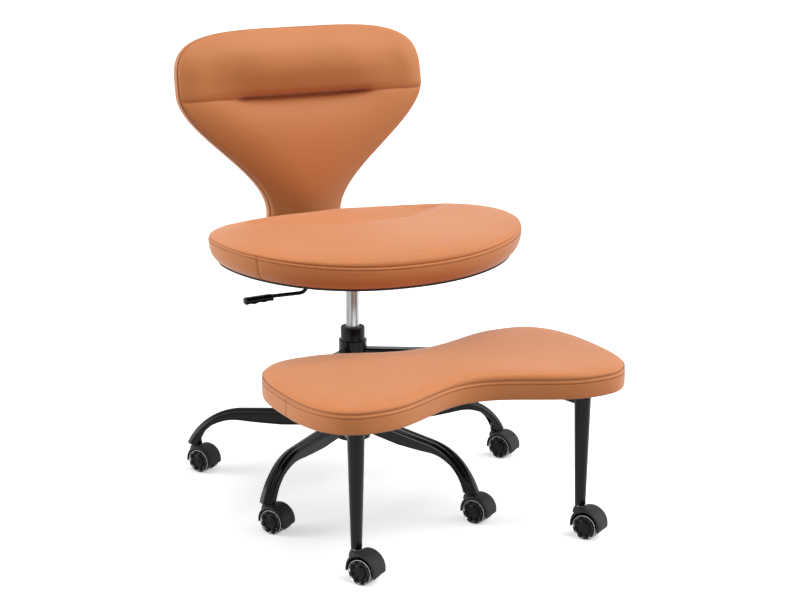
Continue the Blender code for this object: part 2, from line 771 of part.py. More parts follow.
def lever_path():
    """Rod in the lever's own frame: level over the pin, then down and forward, then out to the paddle."""
    inner = (LEVER_INNER_END - pivot_x, 0, 0)
    knee = (-half_housing - LEVER_KNEE_REACH - pivot_x, 0, 0)
    elbow = (LEVER_OUTER_X - pivot_x, LEVER_OUTER_Y, -LEVER_DROP)
    outer = (PADDLE_INNER_X - PADDLE_SOCKET - pivot_x, LEVER_OUTER_Y, -LEVER_DROP)
    first_bend = fillet(inner, knee, elbow, LEVER_BEND_RADIUS, LEVER_BEND_STEPS)
    second_bend = fillet(knee, elbow, outer, LEVER_BEND_RADIUS, LEVER_BEND_STEPS)
    return [inner, *first_bend, *second_bend, outer]


def paddle_mesh():
    """Flat paddle with rounded ends and finger grips along its underside, hollowed for the rod."""
    rings = []
    for step in range(PADDLE_STEPS + 1):
        share = step / PADDLE_STEPS
        along = share * PADDLE_LENGTH
        wave = (1 - math.cos(math.tau * PADDLE_GRIPS * share)) / 2
        grip = PADDLE_GRIP_DEPTH * wave * smooth(along / PADDLE_GRIP_START)
        rounding = math.sqrt(1 - share ** PADDLE_ROUND_POWER)
        half = lerp(PADDLE_TIP_WIDTH, PADDLE_WIDTH, rounding) / 2
        top = lerp(PADDLE_THICKNESS / 2, PADDLE_TIP_RISE, share)
        bottom = -PADDLE_THICKNESS / 2 + grip
        x = PADDLE_INNER_X - along - pivot_x
        flat = half - min(PADDLE_CHAMFER, half / 2)
        outline = [(flat, top), (half, top / 2), (half, bottom / 2), (flat, bottom)]
        outline += [(-across, height) for across, height in reversed(outline)]
        rings.append([(x, LEVER_OUTER_Y + across, height - LEVER_DROP) for across, height in outline])
    paddle = skin("lever_paddle", rings)
    rod_room = LEVER_ROD_RADIUS + FIT_GAP
    hole_end = PADDLE_SOCKET + FIT_GAP
    hole = turned("hole", [(rod_room, -PADDLE_SOCKET), (rod_room, hole_end)], SMALL_SEGMENTS)
    place = Matrix.Translation((PADDLE_INNER_X - pivot_x, LEVER_OUTER_Y, -LEVER_DROP))
    return combine(paddle, [("DIFFERENCE", moved(hole, place @ Matrix.Rotation(-math.pi / 2, 4, "Y")))])


rod_rings = swept(lever_path(), circle_section(LEVER_ROD_RADIUS, SMALL_SEGMENTS), (0, 0, 1))
add_object("lever_rod", skin("lever_rod", rod_rings), black_steel, lever_axis)
add_object("lever_paddle", paddle_mesh(), black_plastic, lever_axis)


# Seat: a crowned oval cushion on a thin black board
seat_seam = SEAT_BOTTOM + SEAT_BAND


def seat_outline():
    """Oval that is blunter behind its widest line than in front of it."""
    points = []
    for index in range(SEAT_POINTS):
        angle = math.tau * index / SEAT_POINTS
        rear = math.sin(angle) > 0
        power = SEAT_REAR_POWER if rear else SEAT_FRONT_POWER
        depth = SEAT_REAR_DEPTH if rear else SEAT_FRONT_DEPTH
        across = math.copysign(abs(math.cos(angle)) ** (2 / power), math.cos(angle))
        along = math.copysign(abs(math.sin(angle)) ** (2 / power), math.sin(angle))
        points.append((SEAT_HALF_WIDTH * across, SEAT_CENTRE_Y + depth * along))
    return points


def seam_lift(x, y):
    """Rise of the seat's seam at the sides and its fall to the front and the rear."""
    across = x / SEAT_HALF_WIDTH
    along = (y - SEAT_CENTRE_Y) / SEAT_FRONT_DEPTH
    return SEAT_SIDE_LIFT * across**2 - SEAT_END_DROP * along**2


def low_lift(x, y):
    """Rise of the cushion's lower edge at the sides and its fall to the front."""
    across = x / SEAT_HALF_WIDTH
    ahead = min(y - SEAT_CENTRE_Y, 0) / SEAT_FRONT_DEPTH
    return SEAT_LOW_SIDE_LIFT * across**2 - SEAT_LOW_FRONT_DROP * ahead**2


def seat_top(x, y, share):
    """Height of the seat's crown, which falls to the edge and dips in the hollow behind the middle."""
    crown = SEAT_CROWN * (1 - share**CROWN_POWER) + SEAT_ROLL
    away = math.hypot(x / HOLLOW_HALF_WIDTH, (y - HOLLOW_Y) / HOLLOW_HALF_DEPTH)
    dip = HOLLOW_DEPTH * smooth((1 - away) / HOLLOW_SLOPE)
    return seat_seam + crown - dip * (1 - share**HOLLOW_EDGE_POWER)


def raised(outline, heights):
    return [(x, y, height) for (x, y), height in zip(outline, heights)]


def band_rings(outline, lows, seams, undercut, roll):
    """Side band of a cushion, tucked under at its lower edge, and the top's start that rolls over above."""
    rings = []
    for step in range(SIDE_RINGS + 1):
        share = step / SIDE_RINGS
        draw_in = undercut * (1 - share) ** TUCK_POWER + SIDE_DRAW_IN * share**SEAM_POWER
        heights = [lerp(low, seam, share) for low, seam in zip(lows, seams)]
        rings.append(raised(inset(outline, draw_in), heights))
    for step in range(1, ROLL_RINGS + 1):
        angle = math.pi / 2 * step / (ROLL_RINGS + 1)
        draw_in = SIDE_DRAW_IN + CUSHION_ROLL_WIDTH * (1 - math.cos(angle))
        rings.append(raised(inset(outline, draw_in), [seam + roll * math.sin(angle) for seam in seams]))
    return rings


def shrunk(outline, share, centre_y):
    return [(x * share, centre_y + (y - centre_y) * share) for x, y in outline]


def top_shares(count):
    """Sizes of the rings over a cushion's top, close at the edge and small in the middle."""
    return [math.cos(lerp(TOP_FIRST_ANGLE, TOP_LAST_ANGLE, step / (count - 1))) for step in range(count)]


def under_rings(height):
    """Rings of the bent underside, flat in the middle, out to the edge of the board."""
    rim = seat_outline()
    edge = inset(rim, SEAT_UNDERCUT)
    rings = []
    for step in range(SEAT_UNDER_RINGS):
        share = lerp(SEAT_FLAT_SHARE, SEAT_BOARD_SHARE, step / (SEAT_UNDER_RINGS - 1))
        fade = smooth((share - SEAT_FLAT_SHARE) / (1 - SEAT_FLAT_SHARE))
        heights = [height + low_lift(x, y) * fade for x, y in rim]
        rings.append(raised(shrunk(edge, share, SEAT_CENTRE_Y), heights))
    return rings


def seat_pad_mesh():
    outline = seat_outline()
    lows = [SEAT_BOTTOM + low_lift(x, y) for x, y in outline]
    lifts = [seam_lift(x, y) for x, y in outline]
    seams = [seat_seam + lift for lift in lifts]
    rings = under_rings(SEAT_BOTTOM) + band_rings(outline, lows, seams, SEAT_UNDERCUT, SEAT_ROLL)
    for share in top_shares(SEAT_TOP_RINGS):
        ring = shrunk(outline, share, SEAT_CENTRE_Y)
        heights = [seat_top(x, y, share) + lift * share**RIM_FADE_POWER for (x, y), lift in zip(ring, lifts)]
        rings.append(raised(ring, heights))
    return skin("seat_pad", rings)


board_rings = under_rings(SEAT_BOTTOM - FIT_GAP) + under_rings(plate_top + FIT_GAP)[::-1]
add_object("seat_board", skin("seat_board", board_rings), board_black, seat_axis)
add_object("seat_pad", seat_pad_mesh(), leather, seat_axis)

# Backrest: the pad leans back from its foot behind the seat
seat_rear = SEAT_CENTRE_Y + SEAT_REAR_DEPTH
back_y = seat_rear + BACK_CLEARANCE + NECK_BULGE + BACK_BAND / 2
back_bottom = SEAT_BOTTOM + BACK_RISE
back_axis = add_axis("back_axis", seat_axis, (0, back_y, back_bottom), (-BACK_LEAN, 0, 0))


def back_half_width(height):
    """Half width of the waisted outline at a height above the pad's foot."""
    if height > BACK_WIDEST:
        share = (height - BACK_WIDEST) / (BACK_HEIGHT - BACK_WIDEST)
        return BACK_HALF_WIDTH * (1 - share ** BACK_CORNER_POWER) ** (1 / BACK_CORNER_POWER)
    share = max(height - NECK_TOP, 0) / (BACK_WIDEST - NECK_TOP)
    return lerp(NECK_HALF_WIDTH, BACK_HALF_WIDTH, smooth(share ** NECK_FLARE))


def back_rows():
    """Heights of the pad's rows: even below the pleat, close at the pleat, then round the top."""
    pleat = []
    for step in range(-PLEAT_ROWS, PLEAT_ROWS + 1):
        away = PLEAT_SPREAD * (abs(step) / PLEAT_ROWS) ** PLEAT_ROW_POWER
        pleat.append(PLEAT_HEIGHT + math.copysign(away, step))
    lower = [pleat[0] * step / BACK_LOWER_ROWS for step in range(BACK_LOWER_ROWS)]
    upper = []
    for step in range(BACK_TOP_ROWS + 1):
        rise = math.sin(BACK_TOP_ANGLE * step / BACK_TOP_ROWS) ** (2 / BACK_CORNER_POWER)
        upper.append(lerp(BACK_WIDEST, BACK_HEIGHT, rise))
    return lower + pleat + [height for height in upper if height > pleat[-1]]


def back_sweep(height):
    """How far the pad is swept back, above and below the height at which it meets the sitter."""
    return BACK_SWEEP * ((height - BACK_SWEEP_HEIGHT) / BACK_HEIGHT) ** 2


def back_front(x, height, share):
    """Depth of the front face before the seam plane: bolster above the pleat, panel below it."""
    edge = math.sqrt(max(1 - abs(share) ** BACK_EDGE_POWER, 0))
    if height > PLEAT_HEIGHT:
        rise = (height - PLEAT_HEIGHT) / (BACK_HEIGHT - PLEAT_HEIGHT)
        full = BOLSTER_BULGE * math.sqrt(1 - max(2 * rise - 1, 0) ** 4)
    else:
        full = lerp(NECK_BULGE, PANEL_BULGE, smooth(height / PLEAT_HEIGHT))
    fade = smooth((abs(x) - PLEAT_DEEP_X) / (PLEAT_FADE_X - PLEAT_DEEP_X))
    pleat = lerp(PLEAT_DEPTH, PLEAT_SIDE_DEPTH, fade)
    return (full - pleat * math.exp(-abs(height - PLEAT_HEIGHT) / PLEAT_REACH)) * edge


def back_pad_mesh():
    mesh = bpy.data.meshes.new("back_pad")
    work = bmesh.new()
    columns = [math.sin(math.pi / 2 * step / BACK_COLUMNS) for step in range(-BACK_COLUMNS, BACK_COLUMNS + 1)]
    front_seam = -BACK_BAND / 2
    rows = []
    for height in back_rows():
        half = back_half_width(height)
        row = []
        for share in columns:
            depth = front_seam + back_sweep(height) - back_front(half * share, height, share)
            row.append(work.verts.new((half * share, depth, height)))
        rows.append(row)
    for lower, upper in zip(rows, rows[1:]):
        for index in range(len(columns) - 1):
            work.faces.new((lower[index], lower[index + 1], upper[index + 1], upper[index]))
    edge = rows[0][:-1] + [row[-1] for row in rows[:-1]] + rows[-1][:0:-1] + [row[0] for row in rows[:0:-1]]
    outline = [(vertex.co.x, vertex.co.z) for vertex in edge]
    loops = [edge]
    for grow, depth in ((BACK_BAND_BULGE, 0), (0, BACK_BAND / 2)):
        wider = inset(outline, -grow)
        loops.append([work.verts.new((x, depth + back_sweep(height), height)) for x, height in wider])
    for near, far in zip(loops, loops[1:]):
        for index in range(len(near)):
            after = (index + 1) % len(near)
            work.faces.new((near[index], near[after], far[after], far[index]))
    behind = loops[-1]
    last_column = len(columns) - 1
    last_row = len(rows) - 1
    right = behind[last_column:last_column + last_row + 1]
    left = [behind[0]] + behind[:last_column + last_row + last_column - 1:-1]
    strips = list(zip(left, left[1:], right, right[1:]))
    for lower_left, upper_left, lower_right, upper_right in strips[1:-1]:
        work.faces.new((lower_left, lower_right, upper_right, upper_left))
    work.faces.new(behind[:last_column] + [right[0], right[1], left[1]])
    work.faces.new([left[-2], right[-2]] + behind[last_column + last_row:2 * last_column + last_row + 1])
    bmesh.ops.recalc_face_normals(work, faces=work.faces)
    work.to_mesh(mesh)
    work.free()
    return mesh


add_object("back_pad", back_pad_mesh(), leather, back_axis)


# Bar behind the backrest: under the seat board, round a bend and up the pad's rear face
def bar_point(height):
    """Point of the bar's middle behind the pad, at a height above the pad's foot."""
    steepest = math.atan(2 * BACK_SWEEP * BACK_SWEEP_HEIGHT / BACK_HEIGHT**2)
    depth = BACK_BAND / 2 + (FIT_GAP + BAR_THICKNESS / 2) / math.cos(steepest) + back_sweep(height)
    sine = math.sin(BACK_LEAN)
    cosine = math.cos(BACK_LEAN)
    return Vector((0, back_y + depth * cosine + height * sine, back_bottom - depth * sine + height * cosine))


def bar_mesh():
    run_height = plate_top - BAR_THICKNESS / 2
    start = Vector((0, PLATE_LENGTH / 2 + FIT_GAP, run_height))
    rise = [bar_point(height) for height in back_rows() if height <= BAR_TOP]
    slope = rise[0] - rise[1]
    corner = rise[0] + slope * ((run_height - rise[0].z) / slope.z)
    room = (rise[0] - corner).length - FIT_GAP
    bend_radius = room * math.tan((start - corner).angle(rise[0] - corner) / 2)
    path = [start, *fillet(start, corner, rise[0], bend_radius, BAR_BEND_STEPS), *rise]
    half = BAR_WIDTH / 2
    thick = BAR_THICKNESS / 2
    section = [(-thick, -half), (thick, -half), (thick, half), (-thick, half)]
    return skin("back_bar", swept(path, section, (1, 0, 0)))


add_object("back_bar", bar_mesh(), black_steel, seat_axis)

# Stool: a collar that turns on the column, two arms, two legs, a board and a cushion
stool_axis = add_axis("stool_axis", column_axis)
collar_radius = column_bore + COLLAR_WALL
collar_profile = [
    (column_bore, collar_bottom),
    (collar_radius, collar_bottom),
    (collar_radius, collar_top - COLLAR_LIP),
    (collar_radius - COLLAR_LIP, collar_top),
    (column_bore, collar_top),
]
add_object("stool_collar", turned("stool_collar", collar_profile, closed=True), black_steel, stool_axis)


leg_x = STOOL_LOBE_X + LEG_SPREAD
leg_y = STOOL_CENTRE_Y - LEG_SETBACK
leg_end = HOOD_TOP + LEG_STEM_COLLAR
flange_top = STOOL_BOTTOM + STOOL_BOARD_RECESS - FIT_GAP


def leg_radius(height):
    share = (height - leg_end) / (flange_top - LEG_FLANGE - leg_end)
    return lerp(LEG_END_RADIUS, LEG_TOP_RADIUS, share)


def leg_mesh():
    """Tapered round leg with a screw flange at its head and the caster socket in its foot."""
    bore = STEM_RADIUS + FIT_GAP
    bevel_top = leg_end + 2 * LEG_END_BEVEL
    profile = [
        (bore, leg_end + STEM_REACH + LEG_SOCKET_ROOM),
        (bore, leg_end),
        (leg_radius(bevel_top) - LEG_END_BEVEL, leg_end),
        (leg_radius(bevel_top), bevel_top),
        (LEG_TOP_RADIUS, flange_top - LEG_FLANGE),
        (LEG_FLANGE_RADIUS, flange_top - LEG_FLANGE),
        (LEG_FLANGE_RADIUS, flange_top),
    ]
    return turned("stool_leg", profile, LEG_SEGMENTS)


def rounded_box_section(width, height, corner):
    half = width / 2
    rise = height / 2
    quarter = [(half, rise - corner), (half - corner, rise)]
    left = [(-across, up) for across, up in reversed(quarter)]
    upper = quarter + left
    return upper + [(across, -up) for across, up in reversed(upper)]


def stool_arm_mesh(side):
    """Bent square tube from the collar out and forward to the leg."""
    middle = stool_arm_top - STOOL_ARM_HEIGHT / 2
    reach = (side * math.cos(STOOL_ARM_ANGLE), math.sin(STOOL_ARM_ANGLE))
    start = (reach[0] * COLUMN_RADIUS, reach[1] * COLUMN_RADIUS, middle)
    elbow = (reach[0] * STOOL_ARM_ELBOW, reach[1] * STOOL_ARM_ELBOW, middle)
    end = (side * leg_x, leg_y, middle)
    path = [start, *fillet(start, elbow, end, STOOL_ARM_BEND, STOOL_ARM_BEND_STEPS), end]
    outside = rounded_box_section(STOOL_ARM_WIDTH, STOOL_ARM_HEIGHT, STOOL_ARM_CORNER)
    wall = 2 * STOOL_ARM_WALL
    inner_corner = STOOL_ARM_CORNER - STOOL_ARM_WALL / 2
    inside = rounded_box_section(STOOL_ARM_WIDTH - wall, STOOL_ARM_HEIGHT - wall, inner_corner)
    outer_rings = swept(path, outside, (0, 0, 1))
    inner_rings = swept(path, inside, (0, 0, 1))
    tube = skin("stool_arm", outer_rings + inner_rings[::-1], closed=True)
    collar_clear = collar_radius + FIT_GAP
    collar_cut = turned("collar", [(collar_clear, 0), (collar_clear, 2 * collar_top)])
    low = middle - STOOL_ARM_HEIGHT
    high = middle + STOOL_ARM_HEIGHT
    leg_cut = turned("leg", [(leg_radius(low) + FIT_GAP, low), (leg_radius(high) + FIT_GAP, high)], LEG_SEGMENTS)
    leg_place = Matrix.Translation((side * leg_x, leg_y, 0))
    return combine(tube, [("DIFFERENCE", collar_cut), ("DIFFERENCE", moved(leg_cut, leg_place))])


leg_shape = leg_mesh()
stool_stem_shape = stem_mesh(leg_end)
for side, side_name, number in ((-1, "right", 6), (1, "left", 7)):
    add_object(f"stool_arm_{side_name}", stool_arm_mesh(side), black_steel, stool_axis)
    add_object(f"stool_leg_{side_name}", leg_shape.copy(), black_steel, stool_axis, (side * leg_x, leg_y, 0))
    add_caster(f"caster_{number}", stool_axis, (side * leg_x, leg_y), stool_stem_shape)


def stool_outline():
    """Peanut outline: two blunt lobes joined by a narrower waist, which is drawn in more at the front."""
    points = []
    cap = STOOL_HALF_LENGTH - STOOL_LOBE_X
    for index in range(STOOL_POINTS):
        angle = math.tau * (index + 0.5) / STOOL_POINTS
        x = STOOL_HALF_LENGTH * math.cos(angle)
        waist = STOOL_WAIST_REAR if math.sin(angle) > 0 else STOOL_WAIST_FRONT
        swell = (1 - math.cos(math.pi * min(abs(x) / STOOL_LOBE_X, 1))) / 2
        past = max(abs(x) - STOOL_LOBE_X, 0) / cap
        y = lerp(waist, STOOL_LOBE_HALF_WIDTH, swell) * (1 - past**STOOL_END_POWER) ** (1 / STOOL_END_POWER)
        points.append((x, STOOL_CENTRE_Y + math.copysign(y, math.sin(angle))))
    return points


def stool_pad_mesh():
    """Cushion that wraps the edge of its board, with the board's pocket in its underside."""
    outline = stool_outline()
    pocket = inset(outline, STOOL_RIM)
    ceiling = STOOL_BOTTOM + STOOL_BOARD_RECESS + STOOL_BOARD_THICKNESS + FIT_GAP
    seam = STOOL_BOTTOM + STOOL_BAND
    rings = [level(pocket, ceiling), level(pocket, STOOL_BOTTOM)]
    lows = [STOOL_BOTTOM] * STOOL_POINTS
    seams = [seam] * STOOL_POINTS
    rings += band_rings(outline, lows, seams, SIDE_DRAW_IN, STOOL_ROLL)
    for share in top_shares(STOOL_TOP_RINGS):
        crown = seam + STOOL_ROLL + STOOL_CROWN * (1 - share**CROWN_POWER)
        rings.append(level(shrunk(outline, share, STOOL_CENTRE_Y), crown))
    return skin("stool_pad", rings)


board_bottom = STOOL_BOTTOM + STOOL_BOARD_RECESS
stool_board_outline = inset(stool_outline(), STOOL_RIM + FIT_GAP)
stool_board_levels = (board_bottom, board_bottom + STOOL_BOARD_THICKNESS)
stool_board_shape = skin("stool_board", [level(stool_board_outline, height) for height in stool_board_levels])
add_object("stool_board", stool_board_shape, plywood, stool_axis)
add_object("stool_pad", stool_pad_mesh(), leather, stool_axis)
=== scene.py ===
import math

import bpy
import numpy as np
from mathutils import Matrix, Vector


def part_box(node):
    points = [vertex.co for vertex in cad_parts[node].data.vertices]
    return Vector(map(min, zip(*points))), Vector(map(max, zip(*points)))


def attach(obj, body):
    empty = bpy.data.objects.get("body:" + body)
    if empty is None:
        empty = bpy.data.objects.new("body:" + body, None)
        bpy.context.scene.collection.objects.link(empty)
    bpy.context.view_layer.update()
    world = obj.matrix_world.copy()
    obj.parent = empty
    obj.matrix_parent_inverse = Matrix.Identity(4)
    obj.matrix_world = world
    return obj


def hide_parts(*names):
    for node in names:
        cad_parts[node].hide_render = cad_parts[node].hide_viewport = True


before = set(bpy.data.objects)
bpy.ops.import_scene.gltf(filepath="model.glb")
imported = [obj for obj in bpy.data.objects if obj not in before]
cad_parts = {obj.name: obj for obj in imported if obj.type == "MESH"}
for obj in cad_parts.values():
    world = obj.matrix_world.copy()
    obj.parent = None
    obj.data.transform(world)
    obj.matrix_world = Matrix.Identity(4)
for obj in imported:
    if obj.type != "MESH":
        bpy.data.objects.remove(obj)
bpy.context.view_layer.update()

# Studio
# A wide white floor under a weak even sky. As the camera sees them, one broad soft lamp is high on the
# right and one is low at each side. The camera looks down a little at the sitter's front right corner.
SKY_LIGHT = 0.18
LAMPS = (
    ("top_lamp", 2.4, math.radians(60), (math.radians(24), 0, math.radians(38))),
    ("left_lamp", 2.2, math.radians(40), (math.radians(74), 0, math.radians(-116))),
    ("right_lamp", 1.2, math.radians(50), (math.radians(68), 0, math.radians(68))),
)
FLOOR_BOUNCE = 0.35
FLOOR_SHOWN = 0.90
FLOOR_LIFT = 0.50
FLOOR_SIZE = 60
LAMP_HEIGHT = 3
LENS = 88.99
SENSOR_WIDTH = 36
CAMERA_PLACE = (-1.7544, -3.3804, 1.4007)
CAMERA_TURN = (math.radians(75.375), 0, math.radians(-27.80))


class Shade:
    """One value in a finish, so that a pattern is written as sums on values."""

    def __init__(self, tree, socket):
        self.tree = tree
        self.socket = socket

    def node(self, kind, settings=(), sockets=(), out=0):
        """Any node: its settings are set first, then its sockets are given values or links."""
        made = self.tree.nodes.new(kind)
        for name, value in dict(settings).items():
            setattr(made, name, value)
        for name, value in dict(sockets).items():
            if isinstance(value, Shade):
                self.tree.links.new(value.socket, made.inputs[name])
            else:
                made.inputs[name].default_value = value
        return Shade(self.tree, made.outputs[out])

    def maths(self, operation, first, second):
        return self.node("ShaderNodeMath", {"operation": operation}, {0: first, 1: second})

    def __add__(self, other):
        return self.maths("ADD", self, other)

    def __rsub__(self, other):
        return self.maths("SUBTRACT", other, self)

    def __mul__(self, other):
        return self.maths("MULTIPLY", self, other)

    def feed(self, node, name):
        self.tree.links.new(self.socket, node.inputs[name])


def seen(tree):
    """One where a ray comes from the camera, a mirror or a clear piece, and nought for other light."""
    path = tree.nodes.new("ShaderNodeLightPath")
    camera = Shade(tree, path.outputs["Is Camera Ray"])
    mirror = Shade(tree, path.outputs["Is Glossy Ray"])
    clear = Shade(tree, path.outputs["Is Transmission Ray"])
    return camera.maths("MAXIMUM", camera.maths("MAXIMUM", camera, mirror), clear)


scene = bpy.context.scene
scene.view_settings.view_transform = "Standard"

sky = bpy.data.worlds.new("sky")
sky.use_nodes = True
scene.world = sky
sky_shown = seen(sky.node_tree)
(sky_shown * (1 - SKY_LIGHT) + SKY_LIGHT).feed(sky.node_tree.nodes["Background"], "Strength")
sky.node_tree.nodes["Background"].inputs["Color"].default_value = (1, 1, 1, 1)

bpy.ops.object.select_all(action="DESELECT")
bpy.ops.mesh.primitive_plane_add(size=FLOOR_SIZE, location=(0, 0, 0))
floor = bpy.context.object
floor.name = "floor"
floor_finish = bpy.data.materials.new("white_floor")
floor_finish.use_nodes = True
floor_tree = floor_finish.node_tree
floor_tree.nodes.remove(floor_tree.nodes["Principled BSDF"])
floor_shown = seen(floor_tree)
lift = floor_shown.node("ShaderNodeEmission", (), {"Strength": floor_shown * FLOOR_LIFT})
floor_white = floor_shown * (FLOOR_SHOWN - FLOOR_BOUNCE) + FLOOR_BOUNCE
matt = floor_shown.node("ShaderNodeBsdfDiffuse", (), {"Color": floor_white})
floor_surface = floor_shown.node("ShaderNodeAddShader", (), {0: lift, 1: matt})
floor_surface.feed(floor_tree.nodes["Material Output"], "Surface")
floor.data.materials.append(floor_finish)

for lamp_name, energy, spread, turn in LAMPS:
    bpy.ops.object.light_add(type="SUN", location=(0, 0, LAMP_HEIGHT), rotation=turn)
    lamp = bpy.context.object
    lamp.name = lamp_name
    lamp.data.energy = energy
    lamp.data.angle = spread

bpy.ops.object.camera_add(location=CAMERA_PLACE, rotation=CAMERA_TURN)
camera = bpy.context.object
camera.data.lens = LENS
camera.data.sensor_width = SENSOR_WIDTH
scene.camera = camera

# Star base
# Five pressed sheet steel arms with a ridge along the top, welded to a turned hub and painted black.
# Each one runs out nearly level, then bends down round a circle to the socket of its caster.
COLUMN = Vector((-0.0210, 0.1150, 0))
ARM_COUNT = 5
ARM_FIRST_ANGLE = math.radians(-1.7)
SOCKET_CIRCLE = 0.336
ARM_ROOT = 0.033
ARM_ROOT_HEIGHT = 0.150
BEND_CENTRE = 0.2285
BEND_RADIUS = 0.140
BEND_FIRST_TURN = math.radians(4.3)
BEND_LAST_TURN = math.radians(69)
RUN_ROWS = 14
RUN_SHARE = 0.62
BEND_ROWS = 34
ARM_FOOT = 0.0580
ARM_SHEET = 0.0022
ARM_DEPTHS = ((0.00, 0.030), (0.35, 0.0315), (0.50, 0.0275), (0.60, 0.024), (0.70, 0.019),
              (0.80, 0.0155), (0.87, 0.0165), (0.94, 0.0205), (1.00, 0.0235))
ARM_HALF_WIDTH = 0.0165
ARM_TAPER = 0.0025
RIDGE_HEIGHT = 0.0065
RIDGE_HALF_WIDTH = 0.0058
STEEL_COLOUR = (0.004, 0.004, 0.005)


def new_finish(name, colour, roughness, metallic=0.0):
    """A finish with its shader and the coordinates of the piece that its patterns lie in."""
    finish = bpy.data.materials.new(name)
    finish.use_nodes = True
    tree = finish.node_tree
    shader = tree.nodes["Principled BSDF"]
    shader.inputs["Base Color"].default_value = (*colour, 1)
    shader.inputs["Roughness"].default_value = roughness
    shader.inputs["Metallic"].default_value = metallic
    return finish, shader, Shade(tree, tree.nodes.new("ShaderNodeTexCoord").outputs["Object"])


def noise(place, scale, detail=2.0):
    return place.node("ShaderNodeTexNoise", (), {"Vector": place, "Scale": scale, "Detail": detail})


def bump(height, depth, strength):
    return height.node("ShaderNodeBump", (), {"Height": height, "Distance": depth, "Strength": strength})


def tint(share, first, second):
    """A colour between two, by a share from nought to one."""
    settings = {"data_type": "RGBA"}
    return share.node("ShaderNodeMix", settings, {0: share, 6: (*first, 1), 7: (*second, 1)}, 2)


black_steel, steel_shader, steel_place = new_finish("black_paint_on_steel", STEEL_COLOUR, 0.26)
(noise(steel_place, 18.0) * 0.08 + 0.15).feed(steel_shader, "Roughness")
tint(noise(steel_place, 7.0), (0.003, 0.003, 0.004), (0.005, 0.005, 0.006)).feed(steel_shader, "Base Color")
bump(noise(steel_place, 420.0, 1.0), 0.0003, 0.12).feed(steel_shader, "Normal")
steel_shader.inputs["Specular IOR Level"].default_value = 0.17


def pick(main, *others):
    """Selects these pieces alone, with the first one active."""
    bpy.ops.object.select_all(action="DESELECT")
    for piece in (main, *others):
        piece.select_set(True)
    bpy.context.view_layer.objects.active = main


def face_outward(merge=0):
    """Turns the active piece's faces outwards, once points that lie this close are one, and ends editing."""
    bpy.ops.object.mode_set(mode="EDIT")
    bpy.ops.mesh.select_all(action="SELECT")
    if merge:
        bpy.ops.mesh.remove_doubles(threshold=merge)
    bpy.ops.mesh.normals_make_consistent(inside=False)
    bpy.ops.object.mode_set(mode="OBJECT")


def smooth_below(degrees):
    """Smooths the picked piece over its edges, up to an angle."""
    bpy.ops.object.shade_smooth_by_angle(angle=math.radians(degrees))


def draw(name, points, fill=False):
    """A line through the points, drawn by extruding one vertex; it stays in edit mode, all selected."""
    bpy.ops.object.select_all(action="DESELECT")
    bpy.ops.mesh.primitive_plane_add(size=0.01, location=(0, 0, 0))
    piece = bpy.context.object
    piece.name = name
    bpy.ops.object.mode_set(mode="EDIT")
    bpy.ops.mesh.select_all(action="SELECT")
    bpy.ops.mesh.merge(type="CENTER")
    bpy.ops.transform.translate(value=points[0])
    for here, there in zip(points, points[1:]):
        step = Vector(there) - Vector(here)
        bpy.ops.mesh.extrude_region_move(TRANSFORM_OT_translate={"value": step})
    bpy.ops.mesh.select_all(action="SELECT")
    if fill:
        bpy.ops.mesh.edge_face_add()
    return piece


def spin(steps, angle=math.tau, centre=(0, 0, 0), axis=(0, 0, 1)):
    """Turns what is drawn round an axis, closes it and leaves edit mode."""
    bpy.ops.mesh.spin(steps=steps, angle=angle, center=centre, axis=axis)
    face_outward(0.000005)


def turned(name, profile, steps=96, close=False):
    """A piece turned on a lathe, from its (radius, height) profile."""
    points = [(radius, 0, height) for radius, height in profile]
    if close:
        points.append(points[0])
    piece = draw(name, points)
    spin(steps)
    smooth_below(35)
    return piece


def grid(name, rows, columns, place):
    """A grid whose vertex in each row and column is moved to its place on the piece."""
    bpy.ops.object.select_all(action="DESELECT")
    bpy.ops.mesh.primitive_grid_add(x_subdivisions=rows, y_subdivisions=columns, size=1)
    piece = bpy.context.object
    piece.name = name
    for vertex in piece.data.vertices:
        row = round((vertex.co.x + 0.5) * rows)
        column = round((vertex.co.y + 0.5) * columns)
        vertex.co = place(row, column)
    return piece


def apply_all(piece):
    """Applies the piece's modifiers in their order."""
    pick(piece)
    for modifier in list(piece.modifiers):
        bpy.ops.object.modifier_apply(modifier=modifier.name)


def join(main, *others):
    pick(main, *others)
    bpy.ops.object.join()
    return main


def copied(piece, name):
    """A copy with a mesh of its own."""
    twin = piece.copy()
    twin.data = piece.data.copy()
    twin.name = name
    bpy.context.collection.objects.link(twin)
    return twin


def settle(piece, finish, body, slot, *nodes):
    """Gives a piece its finish and its place on a body, in place of the solids that it stands for."""
    piece.data.materials.clear()
    piece.data.materials.append(finish)
    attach(piece, body)
    if nodes:
        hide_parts(*nodes)


def on_column(name, profile, finish, body, slot, node, steps=96, close=True):
    """A piece turned round the column, with its finish, in place of a solid."""
    piece = turned(name, profile, steps, close)
    piece.data.transform(Matrix.Translation(COLUMN))
    settle(piece, finish, body, slot, node)


